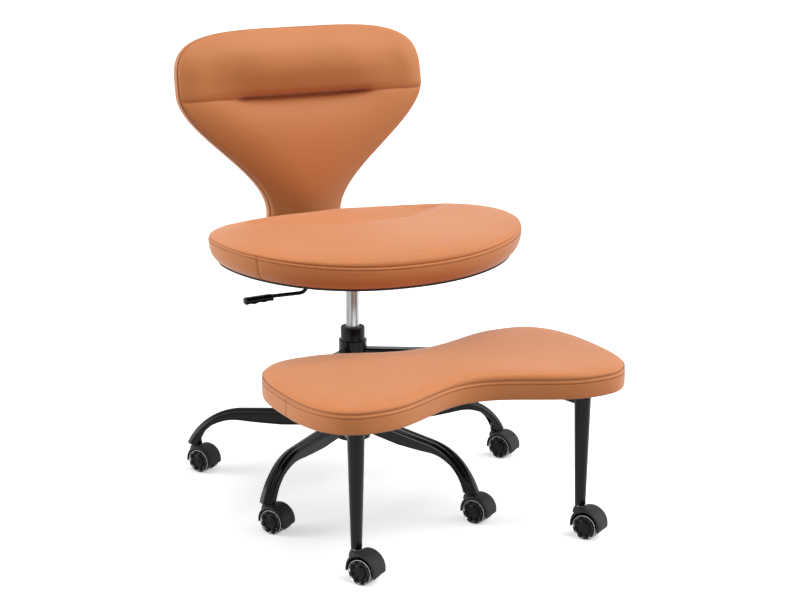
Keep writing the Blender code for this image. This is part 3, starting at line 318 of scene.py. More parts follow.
def arm_station(row):
    """Ridge point and outward direction of one row of the arm."""
    bend_start_x = BEND_CENTRE + BEND_RADIUS * math.sin(BEND_FIRST_TURN)
    bend_start_z = BEND_RADIUS * math.cos(BEND_FIRST_TURN)
    if row <= RUN_ROWS:
        share = row / RUN_ROWS
        x = ARM_ROOT + (bend_start_x - ARM_ROOT) * share
        z = ARM_ROOT_HEIGHT + (bend_start_z - ARM_ROOT_HEIGHT) * share
        return Vector((x, 0, z)), Vector((math.sin(BEND_FIRST_TURN), 0, math.cos(BEND_FIRST_TURN)))
    turn = BEND_FIRST_TURN + (BEND_LAST_TURN - BEND_FIRST_TURN) * (row - RUN_ROWS) / BEND_ROWS
    outward = Vector((math.sin(turn), 0, math.cos(turn)))
    return Vector((BEND_CENTRE, 0, 0)) + outward * BEND_RADIUS, outward


def arm_section(share):
    """Half section of the pressing as (side, depth): ridge, groove, rounded shoulder and flank."""
    depth = np.interp(share, *zip(*ARM_DEPTHS))
    half = ARM_HALF_WIDTH - ARM_TAPER * share
    ridge = RIDGE_HEIGHT - ARM_TAPER * share
    round_depth = min(ridge + 0.0075, depth - 0.003)
    return [
        (0, 0),
        (0.0026, 0.0001),
        (0.0042, 0.0006),
        (0.0052, 0.0015),
        (RIDGE_HALF_WIDTH, 0.0030),
        (RIDGE_HALF_WIDTH + 0.0004, ridge - 0.0006),
        (RIDGE_HALF_WIDTH + 0.0013, ridge),
        (half - 0.0042, ridge + 0.0004),
        (half - 0.0022, ridge + 0.0010),
        (half - 0.0009, ridge + 0.0024),
        (half - 0.0002, ridge + 0.0045),
        (half, round_depth),
        (half + 0.0002, depth - 0.0010),
        (half + 0.0006, depth),
    ]


ARM_ROWS = RUN_ROWS + BEND_ROWS
HALF_COLUMNS = len(arm_section(0)) - 1


def arm_place(row, column):
    point, outward = arm_station(row)
    share = RUN_SHARE * row / RUN_ROWS
    if row > RUN_ROWS:
        share = RUN_SHARE + (1 - RUN_SHARE) * (row - RUN_ROWS) / BEND_ROWS
    across = column - HALF_COLUMNS
    side, depth = arm_section(share)[abs(across)]
    return point - outward * depth + Vector((0, math.copysign(side, across), 0))


arm_pressing = grid("arm_pressing", ARM_ROWS, 2 * HALF_COLUMNS, arm_place)
bpy.ops.object.mode_set(mode="EDIT")
bpy.ops.mesh.select_all(action="SELECT")
bpy.ops.mesh.normals_make_consistent(inside=False)
bpy.ops.mesh.bisect(plane_co=(0, 0, ARM_FOOT), plane_no=(0, 0, 1), clear_inner=True)
bpy.ops.object.mode_set(mode="OBJECT")
ridge_face = max(arm_pressing.data.polygons, key=lambda face: face.center.z)
if ridge_face.normal.z < 0:
    arm_pressing.data.flip_normals()
wall = arm_pressing.modifiers.new("wall", "SOLIDIFY")
wall.thickness = ARM_SHEET
wall.offset = -1
apply_all(arm_pressing)
smooth_below(50)
socket_profile = [(0.0058, 0.0569), (0.0108, 0.0569), (0.0112, 0.0580), (0.0092, 0.0745), (0.0058, 0.0745)]
stem_socket = turned("stem_socket", socket_profile, 40, close=True)
stem_socket.data.transform(Matrix.Translation((SOCKET_CIRCLE, 0, 0)))
arm_pressing = join(arm_pressing, stem_socket)

for arm_number in range(1, ARM_COUNT + 1):
    arm_angle = ARM_FIRST_ANGLE + math.tau * (arm_number - 1) / ARM_COUNT
    arm = copied(arm_pressing, f"pressed_arm_{arm_number}")
    arm.data.transform(Matrix.Translation(COLUMN) @ Matrix.Rotation(arm_angle, 4, "Z"))
    settle(arm, black_steel, "base", "black_steel", f"base_arm_{arm_number}")
bpy.data.objects.remove(arm_pressing)

hub_profile = [
    (0.0254, 0.0925), (0.0350, 0.0920), (0.0360, 0.0930), (0.0360, 0.1555), (0.0352, 0.1573),
    (0.0336, 0.1580), (0.0290, 0.1584), (0.0262, 0.1600), (0.0254, 0.1610),
]
on_column("turned_hub", hub_profile, black_steel, "base", "black_steel", "base_hub")

# Casters
# Seven twin-wheel casters: a moulded hood of grained black nylon over two glossy wheels with lobed
# faces and a bright ring, on a zinc plated stem that turns in its socket. The wheels turn on an axle.
CASTER_COUNT = 7
WHEEL_RADIUS = 0.025
WHEEL_GAP = 0.0048
CASTER_TRAIL = 0.019
CASTER_HEADING = math.radians(-59.7)
HOOD_HALF_WIDTH = 0.0213
HOOD_OUTSIDE = 0.0304
HOOD_INSIDE = 0.0264
HOOD_FIRST_TURN = math.radians(-12)
HOOD_LAST_TURN = math.radians(186)
HOOD_STEPS = 56
HOOD_SWELL = 0.0016
SWELL_START = 50
SWELL_RISE = 70
SWELL_END = 190
SWELL_FALL = 55
WEB_HALF_WIDTH = 0.0045
WEB_OVERLAP = 0.0008
WEB_STEPS = 32
LOBE_COUNT = 9
LOBE_CIRCLE = 0.0194
LOBE_SIZE = (0.0046, 0.0050, 0.0030)
LOBE_LEVEL = 0.0130
RING_INSIDE = 0.0219
RING_OUTSIDE = 0.0241
RING_LEVEL = 0.013
STOOL_HOOD_SCALE = (1.03, 1.03, 1.08)
PLATED = "plated"
RING_COLOUR = (0.42, 0.42, 0.43)

black_nylon, nylon_shader, nylon_place = new_finish("grained_black_nylon", (0.018, 0.018, 0.019), 0.55)
(noise(nylon_place, 60.0) * 0.12 + 0.48).feed(nylon_shader, "Roughness")
tint(noise(nylon_place, 25.0), (0.015, 0.015, 0.016), (0.022, 0.022, 0.023)).feed(nylon_shader, "Base Color")
bump(noise(nylon_place, 1500.0, 2.0), 0.0002, 0.25).feed(nylon_shader, "Normal")
nylon_shader.inputs["Specular IOR Level"].default_value = 0.18

gloss_black, gloss_shader, gloss_place = new_finish("gloss_black_nylon_face", (0.004, 0.004, 0.005), 0.10)
plated = gloss_place.node("ShaderNodeAttribute", {"attribute_name": PLATED}, (), 2)
(plated * 0.9).feed(gloss_shader, "Metallic")
tint(plated, (0.004, 0.004, 0.005), RING_COLOUR).feed(gloss_shader, "Base Color")
(noise(gloss_place, 90.0) * 0.08 + 0.07).feed(gloss_shader, "Roughness")
bump(noise(gloss_place, 300.0, 1.0), 0.0002, 0.08).feed(gloss_shader, "Normal")
gloss_shader.inputs["Specular IOR Level"].default_value = 0.16

zinc, zinc_shader, zinc_place = new_finish("zinc_plate", (0.55, 0.56, 0.57), 0.30, 1.0)
(noise(zinc_place, 240.0) * 0.20 + 0.22).feed(zinc_shader, "Roughness")
tint(noise(zinc_place, 120.0), (0.48, 0.49, 0.50), (0.62, 0.63, 0.64)).feed(zinc_shader, "Base Color")


def eased(share):
    """A share from nought to one, with a soft start and a soft end."""
    share = min(max(share, 0), 1)
    return share * share * (3 - 2 * share)


hood_half_profile = [
    (0.0000, HOOD_OUTSIDE), (0.0100, HOOD_OUTSIDE), (0.0180, HOOD_OUTSIDE - 0.0003),
    (0.0198, HOOD_OUTSIDE - 0.0009), (0.0209, HOOD_OUTSIDE - 0.0019), (HOOD_HALF_WIDTH, HOOD_INSIDE + 0.0004),
    (HOOD_HALF_WIDTH - 0.0006, HOOD_INSIDE), (0.0190, HOOD_INSIDE), (0.0000, HOOD_INSIDE),
]
hood_loop = hood_half_profile + [(-side, radius) for side, radius in hood_half_profile[-2:0:-1]]
first_way = Vector((math.cos(HOOD_FIRST_TURN), 0, math.sin(HOOD_FIRST_TURN)))
axle_middle = Vector((CASTER_TRAIL, 0, WHEEL_RADIUS))
hood_points = [axle_middle + first_way * radius + Vector((0, side, 0)) for side, radius in hood_loop]
caster_hood = draw("caster_hood", hood_points, fill=True)
spin(HOOD_STEPS, HOOD_LAST_TURN - HOOD_FIRST_TURN, axle_middle, (0, 1, 0))
edge_round = caster_hood.modifiers.new("edge_round", "BEVEL")
edge_round.width = 0.0005
edge_round.segments = 2
edge_round.limit_method = "ANGLE"
edge_round.angle_limit = math.radians(50)
apply_all(caster_hood)
for vertex in caster_hood.data.vertices:
    away = vertex.co - axle_middle
    radius = math.hypot(away.x, away.z)
    turn = math.degrees(math.atan2(away.z, away.x) % math.tau)
    front = eased((turn - SWELL_START) / SWELL_RISE) * eased((SWELL_END - turn) / SWELL_FALL)
    swell = HOOD_SWELL * front * (radius - HOOD_INSIDE) / (HOOD_OUTSIDE - HOOD_INSIDE)
    vertex.co += Vector((away.x, 0, away.z)) * swell / radius
smooth_below(35)

web_points = []
for step in range(WEB_STEPS + 1):
    web_turn = HOOD_FIRST_TURN + (HOOD_LAST_TURN - HOOD_FIRST_TURN) * step / WEB_STEPS
    web_way = Vector((math.cos(web_turn), 0, math.sin(web_turn)))
    web_points.append(axle_middle + web_way * (HOOD_INSIDE + WEB_OVERLAP) - Vector((0, WEB_HALF_WIDTH, 0)))
web = draw("caster_web", web_points, fill=True)
bpy.ops.mesh.extrude_region_move(TRANSFORM_OT_translate={"value": (0, 2 * WEB_HALF_WIDTH, 0)})
face_outward()
boss_profile = [
    (0, 0.0440), (0.0142, 0.0440), (0.0128, 0.0500), (0.0112, 0.0525), (0.0103, 0.0542),
    (0.0100, 0.0552), (0.0094, 0.0558), (0, 0.0558),
]
boss = turned("caster_boss", boss_profile, 40)
caster_hood = join(caster_hood, web, boss)

wheel_profile = [
    (0.0000, 0.0002), (0.0226, 0.0002), (0.0241, 0.0008), (0.0249, 0.0022), (0.0250, 0.0040),
    (0.0250, 0.0118), (0.0249, 0.0134), (0.0246, 0.0148), (0.0240, 0.0157), (0.0233, 0.0158),
    (0.0227, 0.0148), (0.0220, 0.0136), (0.0208, 0.0130), (0.0180, 0.0129), (0.0140, 0.0129),
    (0.0128, 0.0135), (0.0122, 0.0150), (0.0116, 0.0160), (0.0105, 0.0164), (0.0088, 0.0164),
    (0.0082, 0.0160), (0.0079, 0.0154), (0.0075, 0.0154), (0.0072, 0.0160), (0.0064, 0.0163),
    (0.0000, 0.0165),
]
caster_wheel = turned("caster_wheel", wheel_profile, 72)
bright = caster_wheel.data.attributes.new(PLATED, "FLOAT", "POINT")
for vertex in caster_wheel.data.vertices:
    reach = math.hypot(vertex.co.x, vertex.co.y)
    ringed = RING_INSIDE < reach < RING_OUTSIDE and vertex.co.z > RING_LEVEL
    bright.data[vertex.index].value = 1.0 if ringed else 0.0
lobes = []
for lobe_number in range(LOBE_COUNT):
    lobe_turn = math.tau * lobe_number / LOBE_COUNT
    bpy.ops.object.select_all(action="DESELECT")
    bpy.ops.mesh.primitive_uv_sphere_add(segments=20, ring_count=12, radius=1)
    lobe = bpy.context.object
    lobe.data.transform(Matrix.Diagonal((*LOBE_SIZE, 1)))
    lobe_place = (LOBE_CIRCLE * math.cos(lobe_turn), LOBE_CIRCLE * math.sin(lobe_turn), LOBE_LEVEL)
    lobe.data.transform(Matrix.Translation(lobe_place) @ Matrix.Rotation(lobe_turn, 4, "Z"))
    bpy.ops.object.shade_smooth()
    lobes.append(lobe)
caster_wheel = join(caster_wheel, *lobes)


def box_foot(node):
    """The point on the floor under the middle of a solid."""
    low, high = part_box(node)
    return Vector(((low[0] + high[0]) / 2, (low[1] + high[1]) / 2, 0))


def paint(finish, *nodes):
    """Gives solids that stay in view their finish."""
    for node in nodes:
        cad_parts[node].material_slots[0].material = finish


for caster_number in range(1, CASTER_COUNT + 1):
    caster_name = f"caster_{caster_number}"
    stem_place = Matrix.Translation(box_foot(caster_name + "_stem"))
    caster_place = stem_place @ Matrix.Rotation(CASTER_HEADING, 4, "Z")
    hood = copied(caster_hood, caster_name + "_cover")
    hood_scale = Matrix.Diagonal((*STOOL_HOOD_SCALE, 1)) if caster_number > ARM_COUNT else Matrix()
    hood.data.transform(caster_place @ hood_scale)
    settle(hood, black_nylon, caster_name, "black_plastic", caster_name + "_hood")
    for side, label in ((-1, "_wheel_right"), (1, "_wheel_left")):
        wheel = copied(caster_wheel, caster_name + label + "_face")
        wheel_turn = Matrix.Rotation(-side * math.pi / 2, 4, "X")
        wheel_seat = Matrix.Translation(axle_middle + Vector((0, side * WHEEL_GAP, 0)))
        wheel.data.transform(caster_place @ wheel_seat @ wheel_turn)
        settle(wheel, gloss_black, caster_name + label, "gloss_black", caster_name + label)
    paint(zinc, caster_name + "_stem", caster_name + "_axle")
bpy.data.objects.remove(caster_hood)
bpy.data.objects.remove(caster_wheel)

# Column and gas lift
# A black steel tube stands in the hub. A black guide bush in its mouth carries the gas lift's chromed
# cylinder, which slides and turns in it. The piston rod is clipped to the floor of the tube.
chrome, chrome_shader, chrome_place = new_finish("chrome_plate", (0.55, 0.56, 0.57), 0.20, 0.55)
# Painted reflection: the base colour is painted with long light and dark streaks up the cylinder in place of
# the reflections in the chrome.
drawn = chrome_place.node("ShaderNodeMapping", (), {"Vector": chrome_place, "Scale": (1, 1, 0.01)})
reflection_streaks = noise(drawn, 130.0, 1.0)
reflection_streaks = reflection_streaks.node("ShaderNodeMapRange", (), {"Value": reflection_streaks, 1: 0.36, 2: 0.62, 3: 0.0, 4: 1.0})
(noise(chrome_place, 35.0) * 0.06 + 0.18).feed(chrome_shader, "Roughness")
tint(reflection_streaks, (0.24, 0.24, 0.25), (0.74, 0.75, 0.76)).feed(chrome_shader, "Base Color")

tube_profile = [
    (0.0053, 0.0915), (0.0244, 0.0915), (0.0250, 0.0921), (0.0250, 0.2395), (0.0288, 0.2398),
    (0.0295, 0.2405), (0.0295, 0.2450), (0.0288, 0.2457), (0.0250, 0.2457), (0.0250, 0.3246),
    (0.0247, 0.3256), (0.0238, 0.3260), (0.0232, 0.3260), (0.0232, 0.0955), (0.0053, 0.0955),
]
on_column("black_tube", tube_profile, black_steel, "base", "black_steel", "column_tube")

bush_profile = [
    (0.0143, 0.2360), (0.0229, 0.2360), (0.0229, 0.3263), (0.0240, 0.3263), (0.0242, 0.3267),
    (0.0242, 0.3276), (0.0236, 0.3284), (0.0160, 0.3285), (0.0148, 0.3280), (0.0143, 0.3272),
]
on_column("moulded_bush", bush_profile, black_nylon, "base", "black_plastic", "guide_bush")

cylinder_low, cylinder_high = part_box("gas_cylinder")
cylinder_profile = [
    (0.0053, cylinder_low[2]), (0.0134, cylinder_low[2]), (0.0140, cylinder_low[2] + 0.0008),
    (0.0140, cylinder_high[2] - 0.026), (0.0132, cylinder_high[2]), (0.0039, cylinder_high[2]),
    (0.0039, cylinder_high[2] - 0.018), (0.0053, cylinder_high[2] - 0.024),
]
on_column("chromed_cylinder", cylinder_profile, chrome, "seat", "chrome", "gas_cylinder")

rod_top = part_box("piston_rod")[1][2]
rod_profile = [
    (0.0000, 0.0868), (0.0044, 0.0868), (0.0050, 0.0874), (0.0050, 0.0878), (0.0080, 0.0878),
    (0.0080, 0.0912), (0.0050, 0.0912), (0.0050, rod_top - 0.001), (0.0042, rod_top), (0.0000, rod_top),
]
on_column("clipped_rod", rod_profile, zinc, "lift_rod", "zinc", "piston_rod", 40, False)
paint(zinc, "valve_pin")

# Stool frame
# A black collar turns on the column. Two bent square tubes are welded to it and run out under the
# stool to two tapered round legs, screwed by their flanges to the plywood of the stool.
plywood, ply_shader, ply_place = new_finish("birch_plywood", (0.50, 0.36, 0.20), 0.65)
ply_grain = ply_place.node("ShaderNodeMapping", (), {"Vector": ply_place, "Scale": (9.0, 140.0, 140.0)})
tint(noise(ply_grain, 1.0, 4.0), (0.40, 0.27, 0.14), (0.60, 0.45, 0.27)).feed(ply_shader, "Base Color")
bump(noise(ply_grain, 3.0, 3.0), 0.0004, 0.3).feed(ply_shader, "Normal")

collar_profile = [
    (0.0253, 0.2460), (0.0282, 0.2460), (0.0288, 0.2468), (0.0288, 0.2985), (0.0292, 0.2990),
    (0.0292, 0.3002), (0.0286, 0.3010), (0.0262, 0.3010), (0.0253, 0.3004),
]
on_column("turning_collar", collar_profile, black_steel, "stool", "black_steel", "stool_collar")

leg_profile = [
    (0.0000, 0.0895), (0.0058, 0.0895), (0.0058, 0.0616), (0.0092, 0.0616), (0.0100, 0.0622),
    (0.0105, 0.0640), (0.0165, 0.2940), (0.0168, 0.2958), (0.0190, 0.2978), (0.0205, 0.2984),
    (0.0208, 0.2990), (0.0208, 0.3010), (0.0000, 0.3010),
]
stool_leg = turned("stool_leg", leg_profile, 72)
for label in ("right", "left"):
    leg = copied(stool_leg, "tapered_leg_" + label)
    leg.data.transform(Matrix.Translation(box_foot("stool_leg_" + label)))
    settle(leg, black_steel, "stool", "black_steel", "stool_leg_" + label)
    paint(black_steel, "stool_arm_" + label)
bpy.data.objects.remove(stool_leg)
paint(plywood, "stool_board")

# Stool cushion
# Foam on the plywood in a tan leather cover: a peanut-shaped top and a side band that meet in a
# double-stitched seam. The cover is pulled round the lower edge and stapled underneath.
LEATHER_LIGHT = (0.645, 0.234, 0.081)
LEATHER_DARK = (0.575, 0.199, 0.064)
THREAD_COLOUR = (0.16, 0.052, 0.019)
# Painted shade: the back's seam groove is painted this dark brown in place of the shadow in the groove.
SEAM_SHADE_COLOUR = (0.14, 0.040, 0.014)
SEAM_SHADE = "seam_shade"
STITCH_LENGTH = 0.0034
STITCH_PITCH = 0.0062
STITCH_RADIUS = 0.00085
STITCH_ROWS = ((-1.0, 0.35), (-0.7, 0.9), (0.0, 1.0), (0.7, 0.9), (1.0, 0.35))
STITCH_CORNERS = 6
STITCH_DIP = 0.7
STITCH_STEP = 0.001
ROW_INWARD = 0.0007
ROW_DROP = 0.0066
UPPER_ROW_INWARD = 0.0014
UPPER_ROW_RISE = 0.0030
JOIN_ROW_LIFT = 0.0022
STOOL_CENTRE = np.array((0, -0.3885))
STOOL_HALF_LENGTH = 0.3387
STOOL_LOBE_X = 0.2215
STOOL_LOBE_HALF = 0.1795
STOOL_WAIST_FRONT = 0.1044
STOOL_WAIST_REAR = 0.1212
STOOL_END_POWER = 2.7
STOOL_BOTTOM = 0.300
STOOL_SEAM = 0.337
STOOL_POCKET = 0.3105
STOOL_ROLL = 0.0115
STOOL_CROWN = 0.0035
STOOL_JOIN = (-0.3385, -0.4122)
STOOL_ROWS = 40
STOOL_PUFF = 0.002
STOOL_GROOVE = 0.0028
POCKET_INWARD = 0.0099
OUTLINE_STEPS = 4000
RING_SIDES = 8
RING_SPREAD = 1.45
ROLL_WIDTH = 0.05
PUFF_FRAMES = 20
EVENING_STEPS = 12
SEAM_EDGE = 0.0012
TUCK_POWER = 3
JOIN_HALF_WIDTH = 0.0012
JOIN_DEPTH = 0.0026

tan_leather, leather_shader, leather_place = new_finish("tan_leather_cover", LEATHER_LIGHT, 0.42)
grain = leather_place.node(
    "ShaderNodeTexVoronoi", {"feature": "DISTANCE_TO_EDGE"}, {"Vector": leather_place, "Scale": 620.0}
)
creases = grain.node("ShaderNodeMapRange", (), {"Value": grain, 1: 0.0, 2: 0.18, 3: 0.0, 4: 1.0})
cloudy = noise(leather_place, 9.0, 3.0)
leather_colour = tint(cloudy * 0.75 + creases * 0.25, LEATHER_DARK, LEATHER_LIGHT)
# Painted shade: where this attribute is set, along the back's seam groove, the leather is painted dark brown.
seam_shade = leather_place.node("ShaderNodeAttribute", {"attribute_name": SEAM_SHADE}, (), 2)
leather_mix = {0: seam_shade * 0.85, 6: leather_colour, 7: (*SEAM_SHADE_COLOUR, 1)}
leather_place.node("ShaderNodeMix", {"data_type": "RGBA"}, leather_mix, 2).feed(leather_shader, "Base Color")
(0.50 - creases * 0.08 + noise(leather_place, 40.0) * 0.06).feed(leather_shader, "Roughness")
bump(creases + noise(leather_place, 160.0, 2.0) * 0.6, 0.0003, 0.28).feed(leather_shader, "Normal")
leather_shader.inputs["Specular IOR Level"].default_value = 0.26
leather_shader.inputs["Sheen Weight"].default_value = 0.20
leather_shader.inputs["Sheen Roughness"].default_value = 0.45

thread, thread_shader, thread_place = new_finish("brown_thread", THREAD_COLOUR, 0.7)
thread_twist = noise(thread_place, 2600.0, 1.0)
tint(thread_twist, (0.11, 0.035, 0.013), (0.21, 0.070, 0.026)).feed(thread_shader, "Base Color")


def lengths(path):
    """Length of a path up to each of its points."""
    return np.concatenate(([0], np.cumsum(np.linalg.norm(np.diff(path, axis=0), axis=1))))


def between(wanted, along, path):
    """Points of a path at the lengths that are wanted."""
    return np.stack([np.interp(wanted, along, values) for values in path.T], axis=-1)


def even_outline(point, count, join):
    """Even steps along a closed outline, close where the ends of the band join, and the step of that join."""
    fine = np.array([point(math.tau * step / OUTLINE_STEPS) for step in range(OUTLINE_STEPS + 1)])
    along = lengths(fine)
    wanted = np.linspace(0, along[-1], count, endpoint=False)
    meeting = along[np.argmin(np.linalg.norm(fine - np.array(join), axis=1))]
    nearest = int(np.argmin(abs(wanted - meeting)))
    for offset in (-1, 0, 1):
        wanted[nearest + offset] = meeting + offset * JOIN_HALF_WIDTH
    return between(wanted, along, fine), nearest


def drawn_in(outline, distance):
    """The outline, moved inwards by one distance, or by one for each point."""
    tangent = np.roll(outline, -1, axis=0) - np.roll(outline, 1, axis=0)
    tangent /= np.linalg.norm(tangent, axis=1)[:, None]
    return outline + np.stack([-tangent[:, 1], tangent[:, 0]], axis=1) * np.reshape(distance, (-1, 1))


# Rows of a side band: how far in, how far below the seam, and the share of the way to the lower edge
BAND_ROWS = (
    (0.0012, 0.0018, 0), (0.0003, 0.0032, 0), (0.0003, 0.0046, 0), (0.0007, 0.0058, 0),
    (0.0010, 0.0066, 0), (0.0007, 0.0074, 0), (0.0003, 0.0088, 0), (0.0001, 0.0115, 0), (0.0000, 0, 0.42),
    (0.0000, 0, 0.54), (0.0000, 0, 0.66), (0.0001, 0, 0.76), (0.0003, 0, 0.85), (0.0007, 0, 0.92),
    (0.0015, 0, 0.97), (0.0034, 0, 1.0), (0.0080, 0, 1.0),
)


def band_loops(outline, join, seams, lows, tuck, groove):
    """Loops of a side band from its seam, a groove, to its lower edge, with a notch where its ends join."""
    loops = []
    for inward, drop, share in ((groove, 0.0008, 0), *BAND_ROWS):
        fall = drop + share * (seams - lows)
        reach = inward + tuck * (fall / (seams - lows)) ** TUCK_POWER
        reach[join] += JOIN_DEPTH
        loops.append(np.column_stack([drawn_in(outline, reach), seams - fall]))
    return loops


def new_piece(name, points, faces):
    """A piece from its points and faces, with its faces turned outwards."""
    mesh = bpy.data.meshes.new(name)
    mesh.from_pydata(points, [], faces)
    piece = bpy.data.objects.new(name, mesh)
    bpy.context.collection.objects.link(piece)
    pick(piece)
    face_outward()
    return piece


def bridge(last, loop):
    """Faces between two loops of as many points."""
    ahead = [*range(1, len(loop)), 0]
    return [(last[step], loop[step], loop[after], last[after]) for step, after in enumerate(ahead)]


def cushion(name, outline, centre, top_rows, top_height, loops):
    """A cushion over a plan outline of eight points for each row: top rings, then the loops of its side.

    Each ring has eight points more than the one inside it; the loops go down from the seam."""
    points = []
    ring_starts = []
    total = RING_SIDES * top_rows
    for ring in range(top_rows + 1):
        ring_starts.append(len(points))
        share = math.sin(RING_SPREAD * ring / top_rows) / math.sin(RING_SPREAD)
        count = max(RING_SIDES * ring, 1)
        for step in range(count):
            place = step / count * total
            before = int(place)
            blend = place - before
            rim = outline[before % total] * (1 - blend) + outline[(before + 1) % total] * blend
            x, y = centre + (rim - centre) * share
            points.append((x, y, top_height(x, y, share)))
    faces = []
    for ring in range(1, top_rows + 1):
        outer = ring_starts[ring]
        inner = ring_starts[ring - 1]
        inner_count = max(RING_SIDES * (ring - 1), 1)
        for side in range(RING_SIDES):
            for step in range(ring):
                first = outer + side * ring + step
                second = outer + (side * ring + step + 1) % (RING_SIDES * ring)
                low = inner + (side * (ring - 1) + min(step, ring - 1)) % inner_count
                high = inner + (side * (ring - 1) + step + 1) % inner_count
                if step == ring - 1:
                    faces.append((low, first, second))
                else:
                    faces.append((low, first, second, high))
    free = ring_starts[-2]
    last = range(ring_starts[-1], len(points))
    for loop in loops:
        level = range(len(points), len(points) + total)
        points += [tuple(point) for point in loop]
        faces += bridge(last, level)
        last = level
    piece = new_piece(name, points, faces)
    piece.vertex_groups.new(name="held").add(list(range(free, len(points))), 1.0, "REPLACE")
    return piece


CLOTH = {
    "quality": 6, "mass": 0.3,
    "tension_stiffness": 40, "compression_stiffness": 40, "bending_stiffness": 2,
    "use_pressure": True, "uniform_pressure_force": 4, "vertex_group_mass": "held",
}


def puff(piece, cap):
    """Fills the cover with a cloth simulation that holds its seams, then caps the swell and evens it out."""
    before = np.array([vertex.co for vertex in piece.data.vertices])
    cloth = piece.modifiers.new("fill", "CLOTH")
    for name, value in CLOTH.items():
        setattr(cloth.settings, name, value)
    cloth.settings.effector_weights.gravity = 0
    cloth.point_cache.frame_start = 1
    cloth.point_cache.frame_end = PUFF_FRAMES
    for step in range(1, PUFF_FRAMES + 1):
        scene.frame_set(step)
    apply_all(piece)
    scene.frame_set(1)
    after = np.array([vertex.co for vertex in piece.data.vertices])
    free = np.array([not vertex.groups for vertex in piece.data.vertices])
    edges = np.array([edge.vertices for edge in piece.data.edges])
    ends = np.concatenate([edges, edges[:, ::-1]])
    way = after - before
    way *= np.minimum(1, cap / np.maximum(np.linalg.norm(way, axis=1), 1e-9))[:, None]
    for _ in range(EVENING_STEPS):
        near = np.zeros_like(way)
        np.add.at(near, ends[:, 0], way[ends[:, 1]])
        near /= np.bincount(ends[:, 0])[:, None]
        way = near * free[:, None]
    piece.data.vertices.foreach_set("co", (before + way).ravel())
    piece.data.update()


def smoothed(piece, close=True):
    """One level of subdivision; an open underside is then closed with one flat face."""
    rounder = piece.modifiers.new("rounder", "SUBSURF")
    rounder.levels = 1
    rounder.render_levels = 1
    apply_all(piece)
    if close:
        bpy.ops.object.mode_set(mode="EDIT")
        bpy.ops.mesh.select_all(action="DESELECT")
        bpy.ops.mesh.select_mode(type="EDGE")
        bpy.ops.mesh.select_non_manifold()
        bpy.ops.mesh.edge_face_add()
        bpy.ops.mesh.select_mode(type="VERT")
    face_outward()
    bpy.ops.object.shade_smooth()


def stitches(name, path, outward):
    """A row of stitches along a path, each a short round thread that dips in at its ends."""
    along = lengths(path)
    count = int(along[-1] / STITCH_PITCH)
    shape = []
    for end, size in STITCH_ROWS:
        for corner in range(STITCH_CORNERS):
            turn = math.tau * corner / STITCH_CORNERS
            shape.append((end, size * math.cos(turn), size * math.sin(turn) - STITCH_DIP * end * end))
    points = []
    faces = []
    for number in range(count):
        middle = along[-1] * (number + 0.5) / count
        here = between(middle, along, path)
        there = between(middle + STITCH_STEP, along, path)
        out = between(middle, along, outward)
        forward = (there - here) / np.linalg.norm(there - here)
        out -= forward * np.dot(out, forward)
        out /= np.linalg.norm(out)
        across = np.cross(out, forward)
        start = len(points)
        for end, wide, high in shape:
            reach = forward * end * STITCH_LENGTH / 2
            points.append(here + reach + (across * wide + out * high) * STITCH_RADIUS)
        end_ring = start + STITCH_CORNERS * (len(STITCH_ROWS) - 1)
        for ring in range(start, end_ring, STITCH_CORNERS):
            for corner in range(STITCH_CORNERS):
                low = ring + corner
                high = ring + (corner + 1) % STITCH_CORNERS
                faces.append((low, high, high + STITCH_CORNERS, low + STITCH_CORNERS))
        faces.append(tuple(range(start + STITCH_CORNERS - 1, start - 1, -1)))
        faces.append(tuple(range(end_ring, end_ring + STITCH_CORNERS)))
    piece = new_piece(name, points, faces)
    bpy.ops.object.shade_smooth()
    return piece


def band_stitches(name, outline, inward, heights):
    """Stitches round a plan outline at its heights, facing out."""
    rim = np.column_stack([drawn_in(outline, inward), heights])
    away = np.column_stack([drawn_in(outline, -1.0) - outline, np.zeros(len(outline))])
    return stitches(name, np.vstack([rim, rim[:1]]), np.vstack([away, away[:1]]))


def join_stitches(name, loops, join, centre):
    """Stitches down the band where its ends join."""
    path = np.array([loop[join] for loop in loops])
    away = path - np.array((*centre, 0))
    away[:, 2] = 0
    return stitches(name, path + away * JOIN_ROW_LIFT, away)


def stool_rim(angle):
    x = STOOL_HALF_LENGTH * math.cos(angle)
    waist = STOOL_WAIST_REAR if math.sin(angle) > 0 else STOOL_WAIST_FRONT
    swell = (1 - math.cos(math.pi * min(abs(x) / STOOL_LOBE_X, 1))) / 2
    past = max(abs(x) - STOOL_LOBE_X, 0) / (STOOL_HALF_LENGTH - STOOL_LOBE_X)
    ending = max(1 - past ** STOOL_END_POWER, 0) ** (1 / STOOL_END_POWER)
    y = (waist + (STOOL_LOBE_HALF - waist) * swell) * ending
    return x, STOOL_CENTRE[1] + math.copysign(y, math.sin(angle))


def rolled(share, width):
    """Rise of a cover that rolls over to its seam, within a width given as a share of its reach."""
    return math.sqrt(max(1 - max(1 - (1 - share) / width, 0) ** 2, 0))


def stool_top(x, y, share):
    return STOOL_SEAM + STOOL_ROLL * rolled(share, ROLL_WIDTH) + STOOL_CROWN * (1 - share ** 3)


